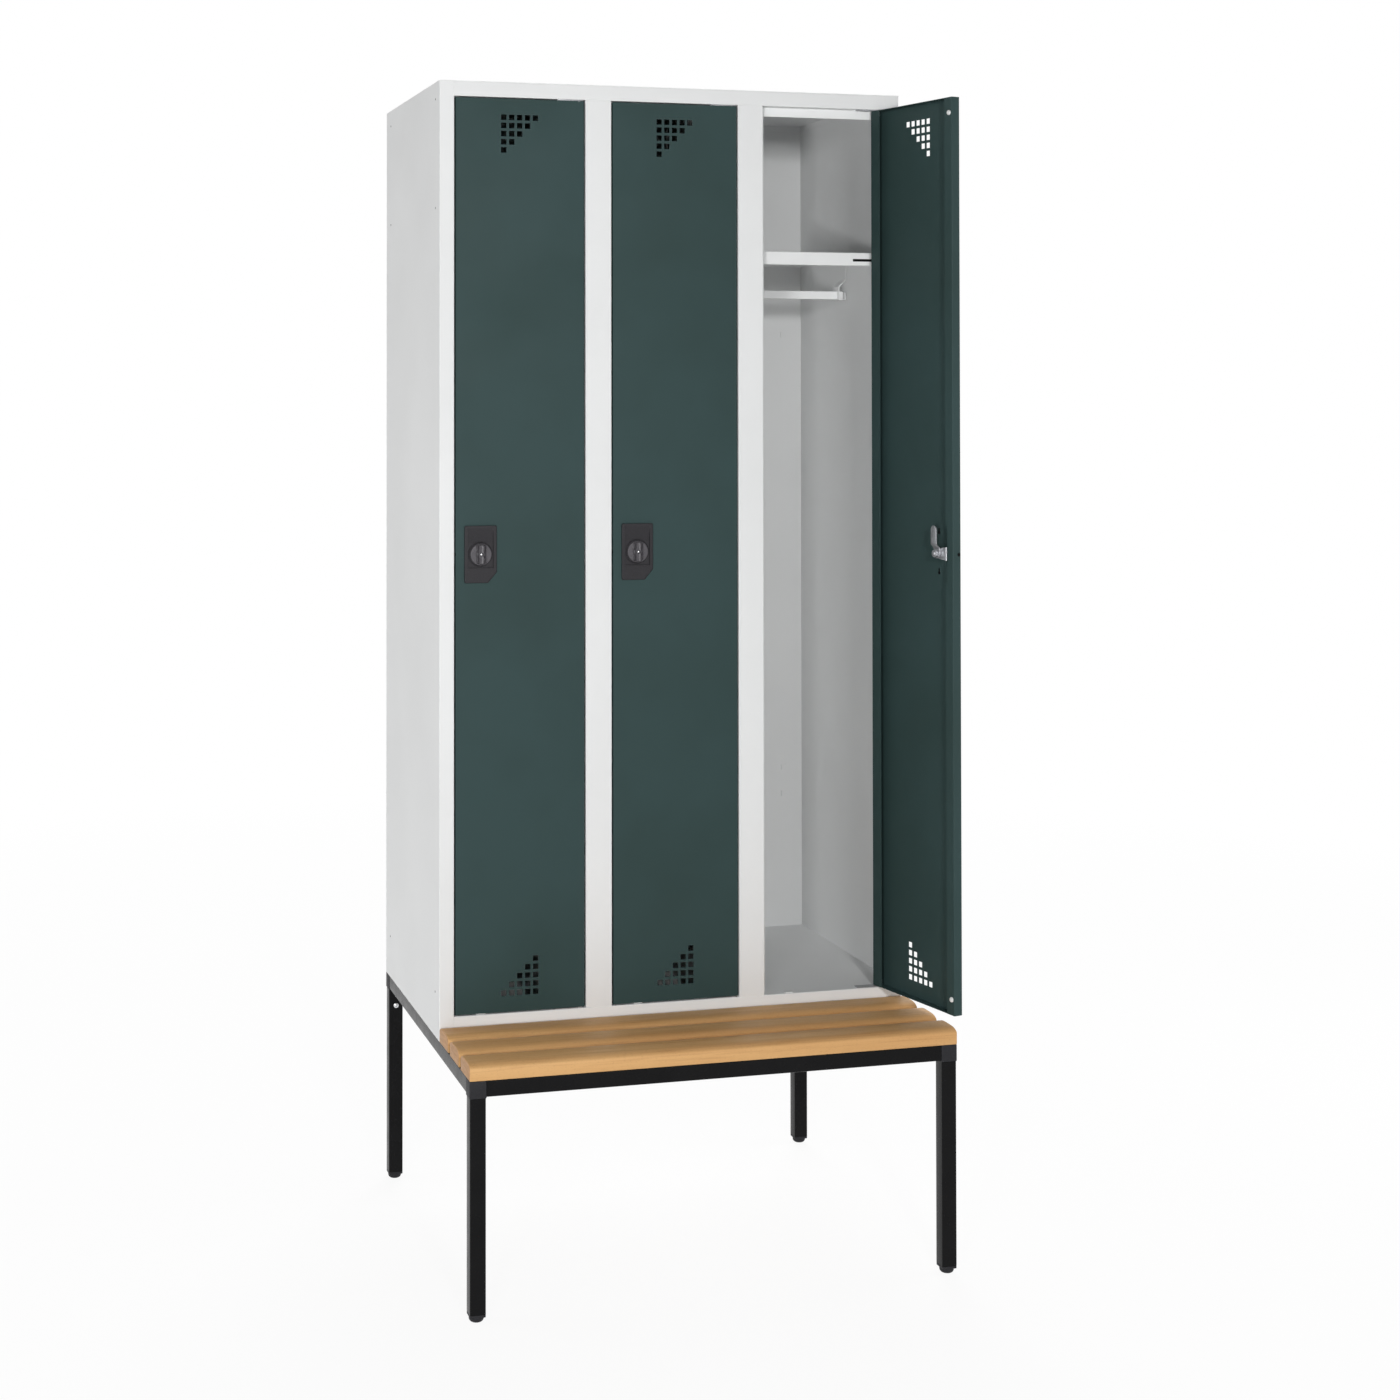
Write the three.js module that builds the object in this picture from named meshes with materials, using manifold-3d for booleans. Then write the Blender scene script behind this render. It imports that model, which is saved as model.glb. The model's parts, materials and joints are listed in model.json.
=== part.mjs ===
// A three-compartment sheet-steel clothes locker that stands on a bench frame with a slatted seat.
// x runs to the right from the cabinet's left face, y back from its front face, and z up from the floor.
// The last lines move the whole locker so that its origin is under the middle of everything it reaches.
import * as THREE from "three";
import { mergeVertices } from "three/addons/utils/BufferGeometryUtils.js";
import Module from "manifold-3d";

const wasm = await Module();
wasm.setup();

// Driving dimensions, in millimetres
const cabinet = {
  width: 900,
  depth: 500,
  height: 1740,
  compartments: 3,
  sheet: 1,
  insideBend: 0.8,
  backFlange: 15,
  baseFlange: 25,
  topSideFlange: 12,
  topBackFlange: 14,
};
const bench = {
  frameHeight: 410,
  seatDepth: 240,
  tube: 28,
  tubeWall: 2,
  tubeCorner: 3,
  boreCorner: 1.5,
  connector: 30,
  connectorCorner: 1.5,
  spigotLength: 16,
  legSpigotLength: 45,
  legLift: 14,
};
const slat = { count: 3, width: 70, gap: 14, edge: 21, crown: 7.5, crownPower: 4, crownSteps: 13 };
const frontFrame = {
  sidePost: 27.5,
  middlePost: 50,
  topRail: 28,
  bottomRail: 43,
  depth: 22,
  lip: 12,
  stopFlange: 9,
  stripDrop: 17,
  stripOverlap: 8,
  stripEndGap: 2,
};
const door = {
  gap: 2.5,
  depth: 18,
  lockLip: 21,
  hingeLip: 27,
  pivotInset: 9,
  pivotSetback: 6.5,
  standingOpen: THREE.MathUtils.degToRad(103),
};
const vents = { side: 10, pitch: 15, rows: 5, margin: 29, towardsFreeEdge: 1.5 };
const hinge = {
  pinRadius: 3,
  pinReach: 10,
  collarRadius: 5.5,
  plateLength: 56,
  plateWidth: 16,
  plateThickness: 1.2,
  legLength: 40,
  legDrop: 8,
  legSetback: 19,
  endGap: 4.5,
  frontInset: 2,
};
const hatShelf = {
  belowTop: 300,
  frontEdge: 25,
  frontSetback: 30,
  returnLip: 10,
  sideFlange: 13,
  backFlange: 15,
  slotWidth: 50,
  slotHeight: 5,
  slotBelowTop: 12,
  slotFromWall: 31,
};
const hanger = {
  thickness: 1.5,
  width: 30,
  bend: 1.2,
  straightDrop: 39,
  slopeDrop: 15,
  offset: 15.5,
  cradleDepth: 15,
  fromFront: 249,
};
const clothesRail = { depth: 15, height: 16, wall: 1.2, corner: 1.5, fromFront: 257, fromShelf: 79.5 };
const lugs = { side: 12, proud: 2, fromWall: 41, heights: [323, 379, 1295] };
const joiningHoles = {
  radius: 2.5,
  frontSetback: 36,
  backInset: 44,
  aboveBottom: 81,
  belowTop: [31, 230.5],
};
const lock = {
  fromFreeEdge: 46,
  plateWidth: 60,
  plateHeight: 104,
  plateThickness: 4.2,
  plateCorner: 3,
  chamferWidth: 16,
  chamferHeight: 19,
  recessSide: 6.5,
  recessTop: 5,
  recessHeight: 71.6,
  recessSlope: 26,
  recessDepth: 2.6,
  collarRadius: 9.7,
  fixingSpread: 37,
  fixingFromFreeEdge: 61,
  fixingRadius: 3.2,
  fixingSlotWidth: 3,
  fixingSlotHeight: 8,
  lipNotch: 4,
};
const knob = {
  radius: 19.8,
  thickness: 5,
  bevel: 1.5,
  gripWidth: 13,
  gripTopWidth: 8,
  gripProud: 6.5,
  ridgeWidth: 2.4,
  ridgeProud: 1.6,
  ridgeSpread: 8.7,
  holeRadius: 3.6,
  holeDepth: 5,
  pinRadius: 2,
  pinHeight: 4,
  shaftRadius: 5,
  threadRadius: 4,
  threadReach: 11,
};
const latch = {
  seat: 16,
  thickness: 2.5,
  hubRadius: 9,
  reach: 54,
  width: 16,
  crankLength: 8,
  crankRise: 7.5,
  nutAcross: 13,
  nutThickness: 6,
};
const bracket = { thickness: 1.5, bend: 1, fromLip: 1, footHeight: 24, hubRadius: 9 };
const bufferHoles = { radius: 2.8, fromFreeEdge: 7.5, fromEnd: 28.5 };
const foot = { radius: 13, height: 10, rounding: 5, spigotLength: 18 };
const slatScrewHoles = { radius: 2.5, depth: 14, fromRearEdge: 18 };
const legScrewHoles = { radius: 2.3, belowTube: 32, depth: 10 };
const boltHoles = { radius: 4.3, fromSide: 12, fromBack: 70 };
const fit = { seat: 0.3, running: 0.3, overrun: 1, mergeTolerance: 0.001 };
const arcSteps = 3;
const roundSteps = 24;
const footSteps = 18;
const pinSteps = 12;
const holeSteps = 8;

// Places that follow from the sizes above
const top = bench.frameHeight + cabinet.height;
const underTop = top - cabinet.sheet;
const lintel = top - frontFrame.topRail;
const sill = bench.frameHeight + frontFrame.bottomRail;
const behindPosts = frontFrame.depth + cabinet.sheet;
const backPanelFront = cabinet.depth - 2 * cabinet.sheet;
const insideBack = backPanelFront - cabinet.sheet;
const compartmentPitch = cabinet.width / cabinet.compartments;
const openingWidth =
  (cabinet.width - 2 * frontFrame.sidePost - (cabinet.compartments - 1) * frontFrame.middlePost) /
  cabinet.compartments;
const openingLeft = (i) => frontFrame.sidePost + i * (openingWidth + frontFrame.middlePost);
const openingRight = (i) => openingLeft(i) + openingWidth;
const wallLeft = (i) => i * compartmentPitch + (i === 0 ? cabinet.sheet : cabinet.sheet / 2);
const wallRight = (i) =>
  (i + 1) * compartmentPitch - (i === cabinet.compartments - 1 ? cabinet.sheet : cabinet.sheet / 2);
const doorWidth = openingWidth - 2 * door.gap;
const doorBottom = sill + door.gap;
const doorTop = lintel - door.gap;
const lockHeight = (doorBottom + doorTop) / 2;
const shelfTop = top - hatShelf.belowTop;
const railBottom = shelfTop - clothesRail.fromShelf;
const benchFront = -bench.seatDepth;
const tubeInset = (bench.connector - bench.tube) / 2;
const numbers = Array.from({ length: cabinet.compartments }, (_, i) => i);

// Materials
function paint(color, roughness, metalness = 0) {
  return new THREE.MeshStandardMaterial({ color, roughness, metalness });
}
const lightGrey = paint(0xe2e3e4, 0.45);
const darkGreen = paint(0x384846, 0.45);
const frameBlack = paint(0x1e1e20, 0.5);
const connectorGrey = paint(0x333335, 0.6);
const lockBlack = paint(0x383739, 0.5);
const knobGrey = paint(0x5a585c, 0.45);
const zinc = paint(0x96979a, 0.35, 0.9);
const beech = paint(0xcda069, 0.55);

// Geometry helpers
const extrude = (shape, depth) =>
  new THREE.ExtrudeGeometry(shape, { depth, bevelEnabled: false, curveSegments: arcSteps });
const axisX = new THREE.Vector3(1, 0, 0);
const axisY = new THREE.Vector3(0, 1, 0);
const axisZ = new THREE.Vector3(0, 0, 1);
const backwards = axisY.clone().negate();

// An outline drawn in x and y, carried up from z0 to z1
const alongZ = (shape, z0, z1) => extrude(shape, z1 - z0).translate(0, 0, z0);

// An outline drawn in y and z, carried to the right from x0 to x1
const alongX = (shape, x0, x1) =>
  extrude(shape, x1 - x0)
    .applyMatrix4(new THREE.Matrix4().makeBasis(axisY, axisZ, axisX))
    .translate(x0, 0, 0);

// An outline drawn in x and z, carried back from y0 to y1
const alongY = (shape, y0, y1) =>
  extrude(shape, y1 - y0)
    .applyMatrix4(new THREE.Matrix4().makeBasis(axisX, axisZ, backwards))
    .translate(0, y1, 0);

function slab(x0, x1, y0, y1, z0, z1) {
  const box = new THREE.BoxGeometry(x1 - x0, y1 - y0, z1 - z0);
  return box.translate((x0 + x1) / 2, (y0 + y1) / 2, (z0 + z1) / 2);
}

function rodZ(x, y, radius, z0, z1, steps = pinSteps) {
  return new THREE.CylinderGeometry(radius, radius, z1 - z0, steps)
    .rotateX(Math.PI / 2)
    .translate(x, y, (z0 + z1) / 2);
}

function rodY(x, z, radius, y0, y1, steps = roundSteps) {
  return new THREE.CylinderGeometry(radius, radius, y1 - y0, steps).translate(x, (y0 + y1) / 2, z);
}

function rodX(y, z, radius, x0, x1) {
  return new THREE.CylinderGeometry(radius, radius, x1 - x0, holeSteps)
    .rotateZ(Math.PI / 2)
    .translate((x0 + x1) / 2, y, z);
}

const shapeOf = (points) => new THREE.Shape(points.map(([x, y]) => new THREE.Vector2(x, y)));

function roundedRectangle(x0, y0, x1, y1, r, Outline = THREE.Shape) {
  const outline = new Outline();
  outline.absarc(x1 - r, y0 + r, r, -Math.PI / 2, 0);
  outline.absarc(x1 - r, y1 - r, r, 0, Math.PI / 2);
  outline.absarc(x0 + r, y1 - r, r, Math.PI / 2, Math.PI);
  outline.absarc(x0 + r, y0 + r, r, Math.PI, (3 * Math.PI) / 2);
  return outline;
}

// The section of a bent sheet. The path is one face of the sheet and the sheet lies to its left.
// Each bend has one centre for both faces, so the sheet keeps its thickness round the bend.
function bentSheet(path, thickness, insideBend) {
  const face = path.map(([x, y]) => new THREE.Vector2(x, y));
  const near = [];
  const far = [];
  const leftOf = (d) => new THREE.Vector2(-d.y, d.x);
  face.forEach((corner, i) => {
    const before = i > 0 ? corner.clone().sub(face[i - 1]).normalize() : null;
    const after = i < face.length - 1 ? face[i + 1].clone().sub(corner).normalize() : null;
    if (!before || !after) {
      near.push(corner.clone());
      far.push(corner.clone().addScaledVector(leftOf(before || after), thickness));
      return;
    }
    const turn = Math.atan2(before.cross(after), before.dot(after));
    const side = Math.sign(turn);
    const nearRadius = side > 0 ? insideBend + thickness : insideBend;
    const farRadius = side > 0 ? insideBend : insideBend + thickness;
    const setback = nearRadius * Math.tan(Math.abs(turn) / 2);
    const outward = leftOf(before).multiplyScalar(-side);
    const centre = corner.clone().addScaledVector(before, -setback).addScaledVector(outward, -nearRadius);
    for (let k = 0; k <= arcSteps; k++) {
      const spoke = outward.clone().rotateAround(new THREE.Vector2(), (turn * k) / arcSteps);
      near.push(centre.clone().addScaledVector(spoke, nearRadius));
      far.push(centre.clone().addScaledVector(spoke, farRadius));
    }
  });
  return new THREE.Shape([...near, ...far.reverse()]);
}

// The same path seen from the cabinet's other side, walked the other way so that the sheet stays inside
const mirrored = (path) => path.map(([x, y]) => [cabinet.width - x, y]).reverse();

// Joining and cutting closed solids
function solidOf(geometry) {
  const bare = new THREE.BufferGeometry().setAttribute("position", geometry.getAttribute("position"));
  if (geometry.index) bare.setIndex(geometry.index);
  const merged = mergeVertices(bare, fit.mergeTolerance);
  return new wasm.Manifold(
    new wasm.Mesh({
      numProp: 3,
      vertProperties: merged.getAttribute("position").array,
      triVerts: new Uint32Array(merged.index.array),
    }),
  );
}

function geometryOf(solid) {
  const { vertProperties, triVerts } = solid.getMesh();
  const geometry = new THREE.BufferGeometry();
  geometry.setAttribute("position", new THREE.BufferAttribute(vertProperties, 3));
  geometry.setIndex(new THREE.BufferAttribute(triVerts, 1));
  const faceted = geometry.toNonIndexed();
  faceted.computeVertexNormals();
  return faceted;
}

const common = (a, b) => geometryOf(solidOf(a).intersect(solidOf(b)));
const joined = (...geometries) => geometryOf(geometries.map(solidOf).reduce((a, b) => a.add(b)));

function cut(geometry, ...tools) {
  const solid = tools.map(solidOf).reduce((a, b) => a.subtract(b), solidOf(geometry));
  return geometryOf(solid);
}

function add(group, name, geometry, material) {
  const mesh = new THREE.Mesh(geometry, material);
  mesh.name = name;
  group.add(mesh);
  return mesh;
}

// Cabinet: side panels with their front posts and stop flanges folded from the same sheet
function sidePanel(onTheLeft) {
  const flange = onTheLeft ? frontFrame.stopFlange : -frontFrame.lip;
  const frontEdge = frontFrame.sidePost + flange;
  const path = [
    [cabinet.backFlange, cabinet.depth],
    [0, cabinet.depth],
    [0, 0],
    [frontFrame.sidePost, 0],
    [frontFrame.sidePost, frontFrame.depth],
    [frontEdge, frontFrame.depth],
  ];
  const section = bentSheet(onTheLeft ? path : mirrored(path), cabinet.sheet, cabinet.insideBend);
  const across = (x) => (onTheLeft ? x : cabinet.width - x);
  const span = (a, b) => [Math.min(across(a), across(b)), Math.max(across(a), across(b))];
  const base = slab(
    ...span(cabinet.sheet / 2, cabinet.baseFlange),
    behindPosts + frontFrame.lip,
    insideBack - frontFrame.lip,
    bench.frameHeight,
    bench.frameHeight + cabinet.sheet,
  );
  const panel = joined(alongZ(section, bench.frameHeight, underTop), base);
  const throughSheet = span(-fit.overrun, cabinet.sheet + fit.overrun);
  const holeHeights = [
    bench.frameHeight + joiningHoles.aboveBottom,
    ...joiningHoles.belowTop.map((drop) => top - drop),
  ];
  const holes = holeHeights.flatMap((z) =>
    [joiningHoles.frontSetback, cabinet.depth - joiningHoles.backInset].map((y) =>
      rodX(y, z, joiningHoles.radius, ...throughSheet),
    ),
  );
  const boltHole = rodZ(
    across(boltHoles.fromSide),
    cabinet.depth - boltHoles.fromBack,
    boltHoles.radius,
    bench.frameHeight - fit.overrun,
    bench.frameHeight + cabinet.sheet + fit.overrun,
    holeSteps,
  );
  const flangeEnds = onTheLeft
    ? [
        [bench.frameHeight - fit.overrun, sill],
        [lintel, top],
      ].map(([z0, z1]) =>
        slab(
          frontFrame.sidePost,
          frontEdge + fit.overrun,
          frontFrame.depth - cabinet.sheet - cabinet.insideBend,
          behindPosts + fit.overrun,
          z0,
          z1,
        ),
      )
    : [];
  return cut(panel, ...holes, boltHole, ...flangeEnds);
}

// A middle post stands on the floor tray under the top rail: hinge side to its left, lock side to its right
function middlePost(centre) {
  const left = centre - frontFrame.middlePost / 2;
  const right = centre + frontFrame.middlePost / 2;
  const path = [
    [left + frontFrame.lip, frontFrame.depth],
    [left, frontFrame.depth],
    [left, 0],
    [right, 0],
    [right, frontFrame.depth],
    [right + frontFrame.stopFlange, frontFrame.depth],
  ];
  return alongZ(bentSheet(path, cabinet.sheet, cabinet.insideBend), sill, lintel);
}

// A partition runs from inside its post to the back, under the top panel and behind the top rail
function partition(centre) {
  const outline = shapeOf([
    [cabinet.sheet, sill],
    [insideBack, sill],
    [insideBack, underTop],
    [frontFrame.depth, underTop],
    [frontFrame.depth, lintel],
    [cabinet.sheet, lintel],
  ]);
  return alongX(outline, centre - cabinet.sheet / 2, centre + cabinet.sheet / 2);
}

function topPanel() {
  const flangeEnd = backPanelFront - cabinet.sheet / 2;
  const flangeTop = top - cabinet.sheet / 2;
  const sideFlange = (x) =>
    slab(x, x + cabinet.sheet, behindPosts, flangeEnd, top - cabinet.topSideFlange, flangeTop);
  return joined(
    slab(0, cabinet.width, 0, cabinet.depth, underTop, top),
    sideFlange(cabinet.sheet),
    sideFlange(cabinet.width - 2 * cabinet.sheet),
    slab(
      cabinet.sheet,
      cabinet.width - cabinet.sheet,
      insideBack,
      backPanelFront,
      top - cabinet.topBackFlange,
      flangeTop,
    ),
  );
}

// The top rail is a folded channel. Behind it, over each opening, is a flat strip
// that the door closes against.
function topRail() {
  const path = [
    [frontFrame.depth, underTop],
    [0, underTop],
    [0, lintel],
    [frontFrame.depth, lintel],
    [frontFrame.depth, lintel + frontFrame.stripOverlap],
  ];
  const section = bentSheet(path, cabinet.sheet, cabinet.insideBend);
  const strips = numbers.map((i) =>
    slab(
      openingLeft(i) + frontFrame.stopFlange + fit.seat,
      openingRight(i) - frontFrame.stripEndGap,
      frontFrame.depth,
      behindPosts,
      lintel - frontFrame.stripDrop,
      lintel + frontFrame.stripOverlap,
    ),
  );
  return joined(alongX(section, frontFrame.sidePost, cabinet.width - frontFrame.sidePost), ...strips);
}

// The compartment floor is an upturned tray whose front edge is the bottom rail
function floorTray() {
  const path = [
    [backPanelFront, bench.frameHeight + cabinet.sheet],
    [backPanelFront, sill],
    [0, sill],
    [0, bench.frameHeight],
    [frontFrame.depth - frontFrame.lip / 2, bench.frameHeight],
  ];
  const section = bentSheet(path, cabinet.sheet, cabinet.insideBend);
  const tray = alongX(section, frontFrame.sidePost, cabinet.width - frontFrame.sidePost);
  const wing = (x0, x1) => slab(x0, x1, behindPosts, insideBack, sill - cabinet.sheet, sill);
  return joined(
    tray,
    wing(cabinet.sheet, frontFrame.sidePost),
    wing(cabinet.width - frontFrame.sidePost, cabinet.width - cabinet.sheet),
  );
}

function backPanel() {
  const sideGap = cabinet.sheet + cabinet.insideBend;
  const sheet = slab(
    sideGap,
    cabinet.width - sideGap,
    backPanelFront,
    backPanelFront + cabinet.sheet,
    bench.frameHeight,
    underTop,
  );
  const half = lugs.side / 2;
  const bosses = numbers.flatMap((i) =>
    [wallLeft(i) + lugs.fromWall, wallRight(i) - lugs.fromWall].flatMap((x) =>
      lugs.heights.map((height) => {
        const z = bench.frameHeight + height;
        const front = backPanelFront - lugs.proud;
        return slab(x - half, x + half, front, backPanelFront + cabinet.sheet, z - half, z + half);
      }),
    ),
  );
  return joined(sheet, ...bosses);
}

const hangerInset = cabinet.sheet + fit.seat + hanger.thickness;

// A strip welded under the shelf, cranked inwards and turned up into a cradle for the rail's end
function hangerPath(i) {
  const wallSide = wallRight(i) - hangerInset;
  const railSide = wallSide - hanger.offset;
  const start = shelfTop - cabinet.sheet / 2;
  const cradle = railBottom - hanger.thickness;
  return [
    [wallSide, start],
    [wallSide, shelfTop - hanger.straightDrop],
    [railSide, shelfTop - hanger.straightDrop - hanger.slopeDrop],
    [railSide, cradle],
    [wallSide, cradle],
    [wallSide, cradle + hanger.cradleDepth],
  ];
}

function railHanger(i, onTheLeft) {
  const flip = wallLeft(i) + wallRight(i);
  const path = hangerPath(i);
  const placed = onTheLeft ? path.map(([x, z]) => [flip - x, z]).reverse() : path;
  const strip = alongY(
    bentSheet(placed, hanger.thickness, hanger.bend),
    hanger.fromFront,
    hanger.fromFront + hanger.width,
  );
  const railSide = path[2][0];
  const cutEnds = [railSide - fit.overrun, railSide + hanger.thickness + hanger.bend + fit.overrun];
  const [x0, x1] = onTheLeft ? cutEnds.map((x) => flip - x).reverse() : cutEnds;
  const window = slab(
    x0,
    x1,
    clothesRail.fromFront - fit.seat,
    clothesRail.fromFront + clothesRail.depth + fit.seat,
    railBottom - fit.seat,
    railBottom + clothesRail.height + fit.seat,
  );
  return cut(strip, window);
}

// A hat shelf is a shallow tray, with the clothes rail's two hangers welded under it
function shelf(i) {
  const back = insideBack;
  const path = [
    [back, shelfTop - hatShelf.backFlange],
    [back, shelfTop],
    [hatShelf.frontSetback, shelfTop],
    [hatShelf.frontSetback, shelfTop - hatShelf.frontEdge],
    [hatShelf.frontSetback + hatShelf.returnLip, shelfTop - hatShelf.frontEdge],
  ];
  const tray = alongX(bentSheet(path, cabinet.sheet, cabinet.insideBend), wallLeft(i), wallRight(i));
  const flange = (x) =>
    slab(
      x,
      x + cabinet.sheet,
      hatShelf.frontSetback + hatShelf.returnLip,
      back - cabinet.sheet / 2,
      shelfTop - hatShelf.sideFlange,
      shelfTop - cabinet.sheet / 2,
    );
  const slotRight = wallRight(i) - hatShelf.slotFromWall;
  const slotTop = shelfTop - hatShelf.slotBelowTop;
  const slot = slab(
    slotRight - hatShelf.slotWidth,
    slotRight,
    hatShelf.frontSetback - fit.overrun,
    hatShelf.frontSetback + cabinet.sheet + fit.overrun,
    slotTop - hatShelf.slotHeight,
    slotTop,
  );
  const strips = [railHanger(i, true), railHanger(i, false)];
  return cut(joined(tray, flange(wallLeft(i)), flange(wallRight(i) - cabinet.sheet), ...strips), slot);
}

function hangingRail(i) {
  const { depth, height, wall, corner, fromFront } = clothesRail;
  const section = roundedRectangle(fromFront, railBottom, fromFront + depth, railBottom + height, corner);
  section.holes.push(
    roundedRectangle(
      fromFront + wall,
      railBottom + wall,
      fromFront + depth - wall,
      railBottom + height - wall,
      corner / 2,
      THREE.Path,
    ),
  );
  const inset = hangerInset + hanger.thickness + hanger.bend + fit.seat;
  return alongX(section, wallLeft(i) + inset, wallRight(i) - inset);
}

// Each door turns on a pin in the sill and a pin in the lintel
const pivotX = (i) => openingRight(i) - door.gap - door.pivotInset;
const pivotY = door.pivotSetback;

function upperHinge(i) {
  const right = openingRight(i) - hinge.endGap;
  const left = right - hinge.plateLength;
  const back = hinge.legSetback + hinge.plateThickness;
  const plate = slab(left, right, hinge.frontInset, back, lintel - hinge.plateThickness, lintel);
  const leg = slab(left, left + hinge.legLength, hinge.legSetback, back, lintel - hinge.legDrop, lintel);
  const pinTop = lintel - hinge.plateThickness / 2;
  return joined(plate, leg, rodZ(pivotX(i), pivotY, hinge.pinRadius, doorTop - hinge.pinReach, pinTop));
}

// The lower pin has a collar that carries the door's weight
function lowerHinge(i) {
  const right = openingRight(i) - hinge.endGap;
  const left = right - hinge.plateLength;
  const back = hinge.frontInset + hinge.plateWidth;
  const pinBottom = sill + hinge.plateThickness / 2;
  return joined(
    slab(left, right, hinge.frontInset, back, sill, sill + hinge.plateThickness),
    rodZ(pivotX(i), pivotY, hinge.collarRadius, pinBottom, doorBottom - fit.running),
    rodZ(pivotX(i), pivotY, hinge.pinRadius, pinBottom, doorBottom + hinge.pinReach),
  );
}

// Door pieces are drawn closed: x from the door's free edge, y from its front face
function ventHoles() {
  const start = doorWidth / 2 - vents.towardsFreeEdge - ((vents.rows - 1) * vents.pitch) / 2;
  const half = vents.side / 2;
  const hole = (column, z) => {
    const x = start + column * vents.pitch;
    return slab(x - half, x + half, -fit.overrun, door.depth / 2, z - half, z + half);
  };
  const holes = [];
  for (let row = 0; row < vents.rows; row++) {
    const fromEdge = vents.margin + half + row * vents.pitch;
    for (let column = 0; column < vents.rows - row; column++) {
      holes.push(hole(column, doorTop - fromEdge));
      holes.push(hole(vents.rows - 1 - column, doorBottom + fromEdge));
    }
  }
  return holes;
}

function keyhole(z) {
  const x = lock.fixingFromFreeEdge;
  const half = lock.fixingSlotWidth / 2;
  return joined(
    rodY(x, z, lock.fixingRadius, -fit.overrun, cabinet.sheet + fit.overrun, pinSteps),
    slab(x - half, x + half, -fit.overrun, cabinet.sheet + fit.overrun, z, z + lock.fixingSlotHeight),
  );
}

function doorPanel() {
  const path = [
    [door.lockLip, door.depth],
    [0, door.depth],
    [0, 0],
    [doorWidth, 0],
    [doorWidth, door.depth],
    [doorWidth - door.hingeLip, door.depth],
  ];
  const { sheet, insideBend } = cabinet;
  const inset = sheet / 2;
  const end = (z) => slab(inset, doorWidth - inset, inset, door.depth - inset, z, z + sheet);
  const pan = joined(
    alongZ(bentSheet(path, sheet, insideBend), doorBottom, doorTop),
    end(doorBottom),
    end(doorTop - sheet),
  );
  const pivot = rodZ(
    doorWidth - door.pivotInset,
    door.pivotSetback,
    hinge.pinRadius + fit.running,
    doorBottom - fit.overrun,
    doorTop + fit.overrun,
  );
  const collarHole = rodY(
    lock.fromFreeEdge,
    lockHeight,
    lock.collarRadius + fit.seat,
    -fit.overrun,
    sheet + fit.overrun,
  );
  const lipNotch = slab(
    door.lockLip - lock.lipNotch,
    door.lockLip + fit.overrun,
    door.depth - sheet - fit.overrun,
    door.depth + fit.overrun,
    lockHeight - lock.plateHeight / 2,
    lockHeight + lock.plateHeight / 2,
  );
  const plugHoles = [doorBottom + bufferHoles.fromEnd, doorTop - bufferHoles.fromEnd].map((z) =>
    rodY(
      bufferHoles.fromFreeEdge,
      z,
      bufferHoles.radius,
      door.depth - sheet - fit.overrun,
      door.depth + fit.overrun,
      pinSteps,
    ),
  );
  const keyholes = [lockHeight - lock.fixingSpread, lockHeight + lock.fixingSpread].map(keyhole);
  return cut(pan, pivot, collarHole, lipNotch, ...plugHoles, ...keyholes, ...ventHoles());
}

function lockPlate() {
  const { plateWidth: w, plateHeight: h, plateCorner: r, chamferWidth, chamferHeight } = lock;
  const left = lock.fromFreeEdge - w / 2;
  const bottom = lockHeight - h / 2;
  const outline = new THREE.Shape();
  outline.absarc(left + r, bottom + r, r, Math.PI, (3 * Math.PI) / 2);
  outline.lineTo(left + w - chamferWidth, bottom);
  outline.lineTo(left + w, bottom + chamferHeight);
  outline.absarc(left + w - r, bottom + h - r, r, 0, Math.PI / 2);
  outline.absarc(left + r, bottom + h - r, r, Math.PI / 2, Math.PI);
  const back = -fit.seat;
  const front = back - lock.plateThickness;
  const collarBack = latch.seat - bracket.thickness - fit.seat;
  const floor = front + lock.recessDepth;
  const recessTop = bottom + h - lock.recessTop;
  const recess = shapeOf([
    [front - fit.overrun, recessTop - lock.recessHeight],
    [floor, recessTop - lock.recessHeight],
    [floor, recessTop - lock.recessSlope],
    [front, recessTop],
    [front - fit.overrun, recessTop],
  ]);
  const plate = joined(
    alongY(outline, front, back),
    rodY(lock.fromFreeEdge, lockHeight, lock.collarRadius, back - lock.recessDepth / 2, collarBack),
  );
  const shaftHole = rodY(
    lock.fromFreeEdge,
    lockHeight,
    knob.shaftRadius + fit.running,
    front - fit.overrun,
    collarBack + fit.overrun,
  );
  return cut(plate, alongX(recess, left + lock.recessSide, left + w - lock.recessSide), shaftHole);
}

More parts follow.
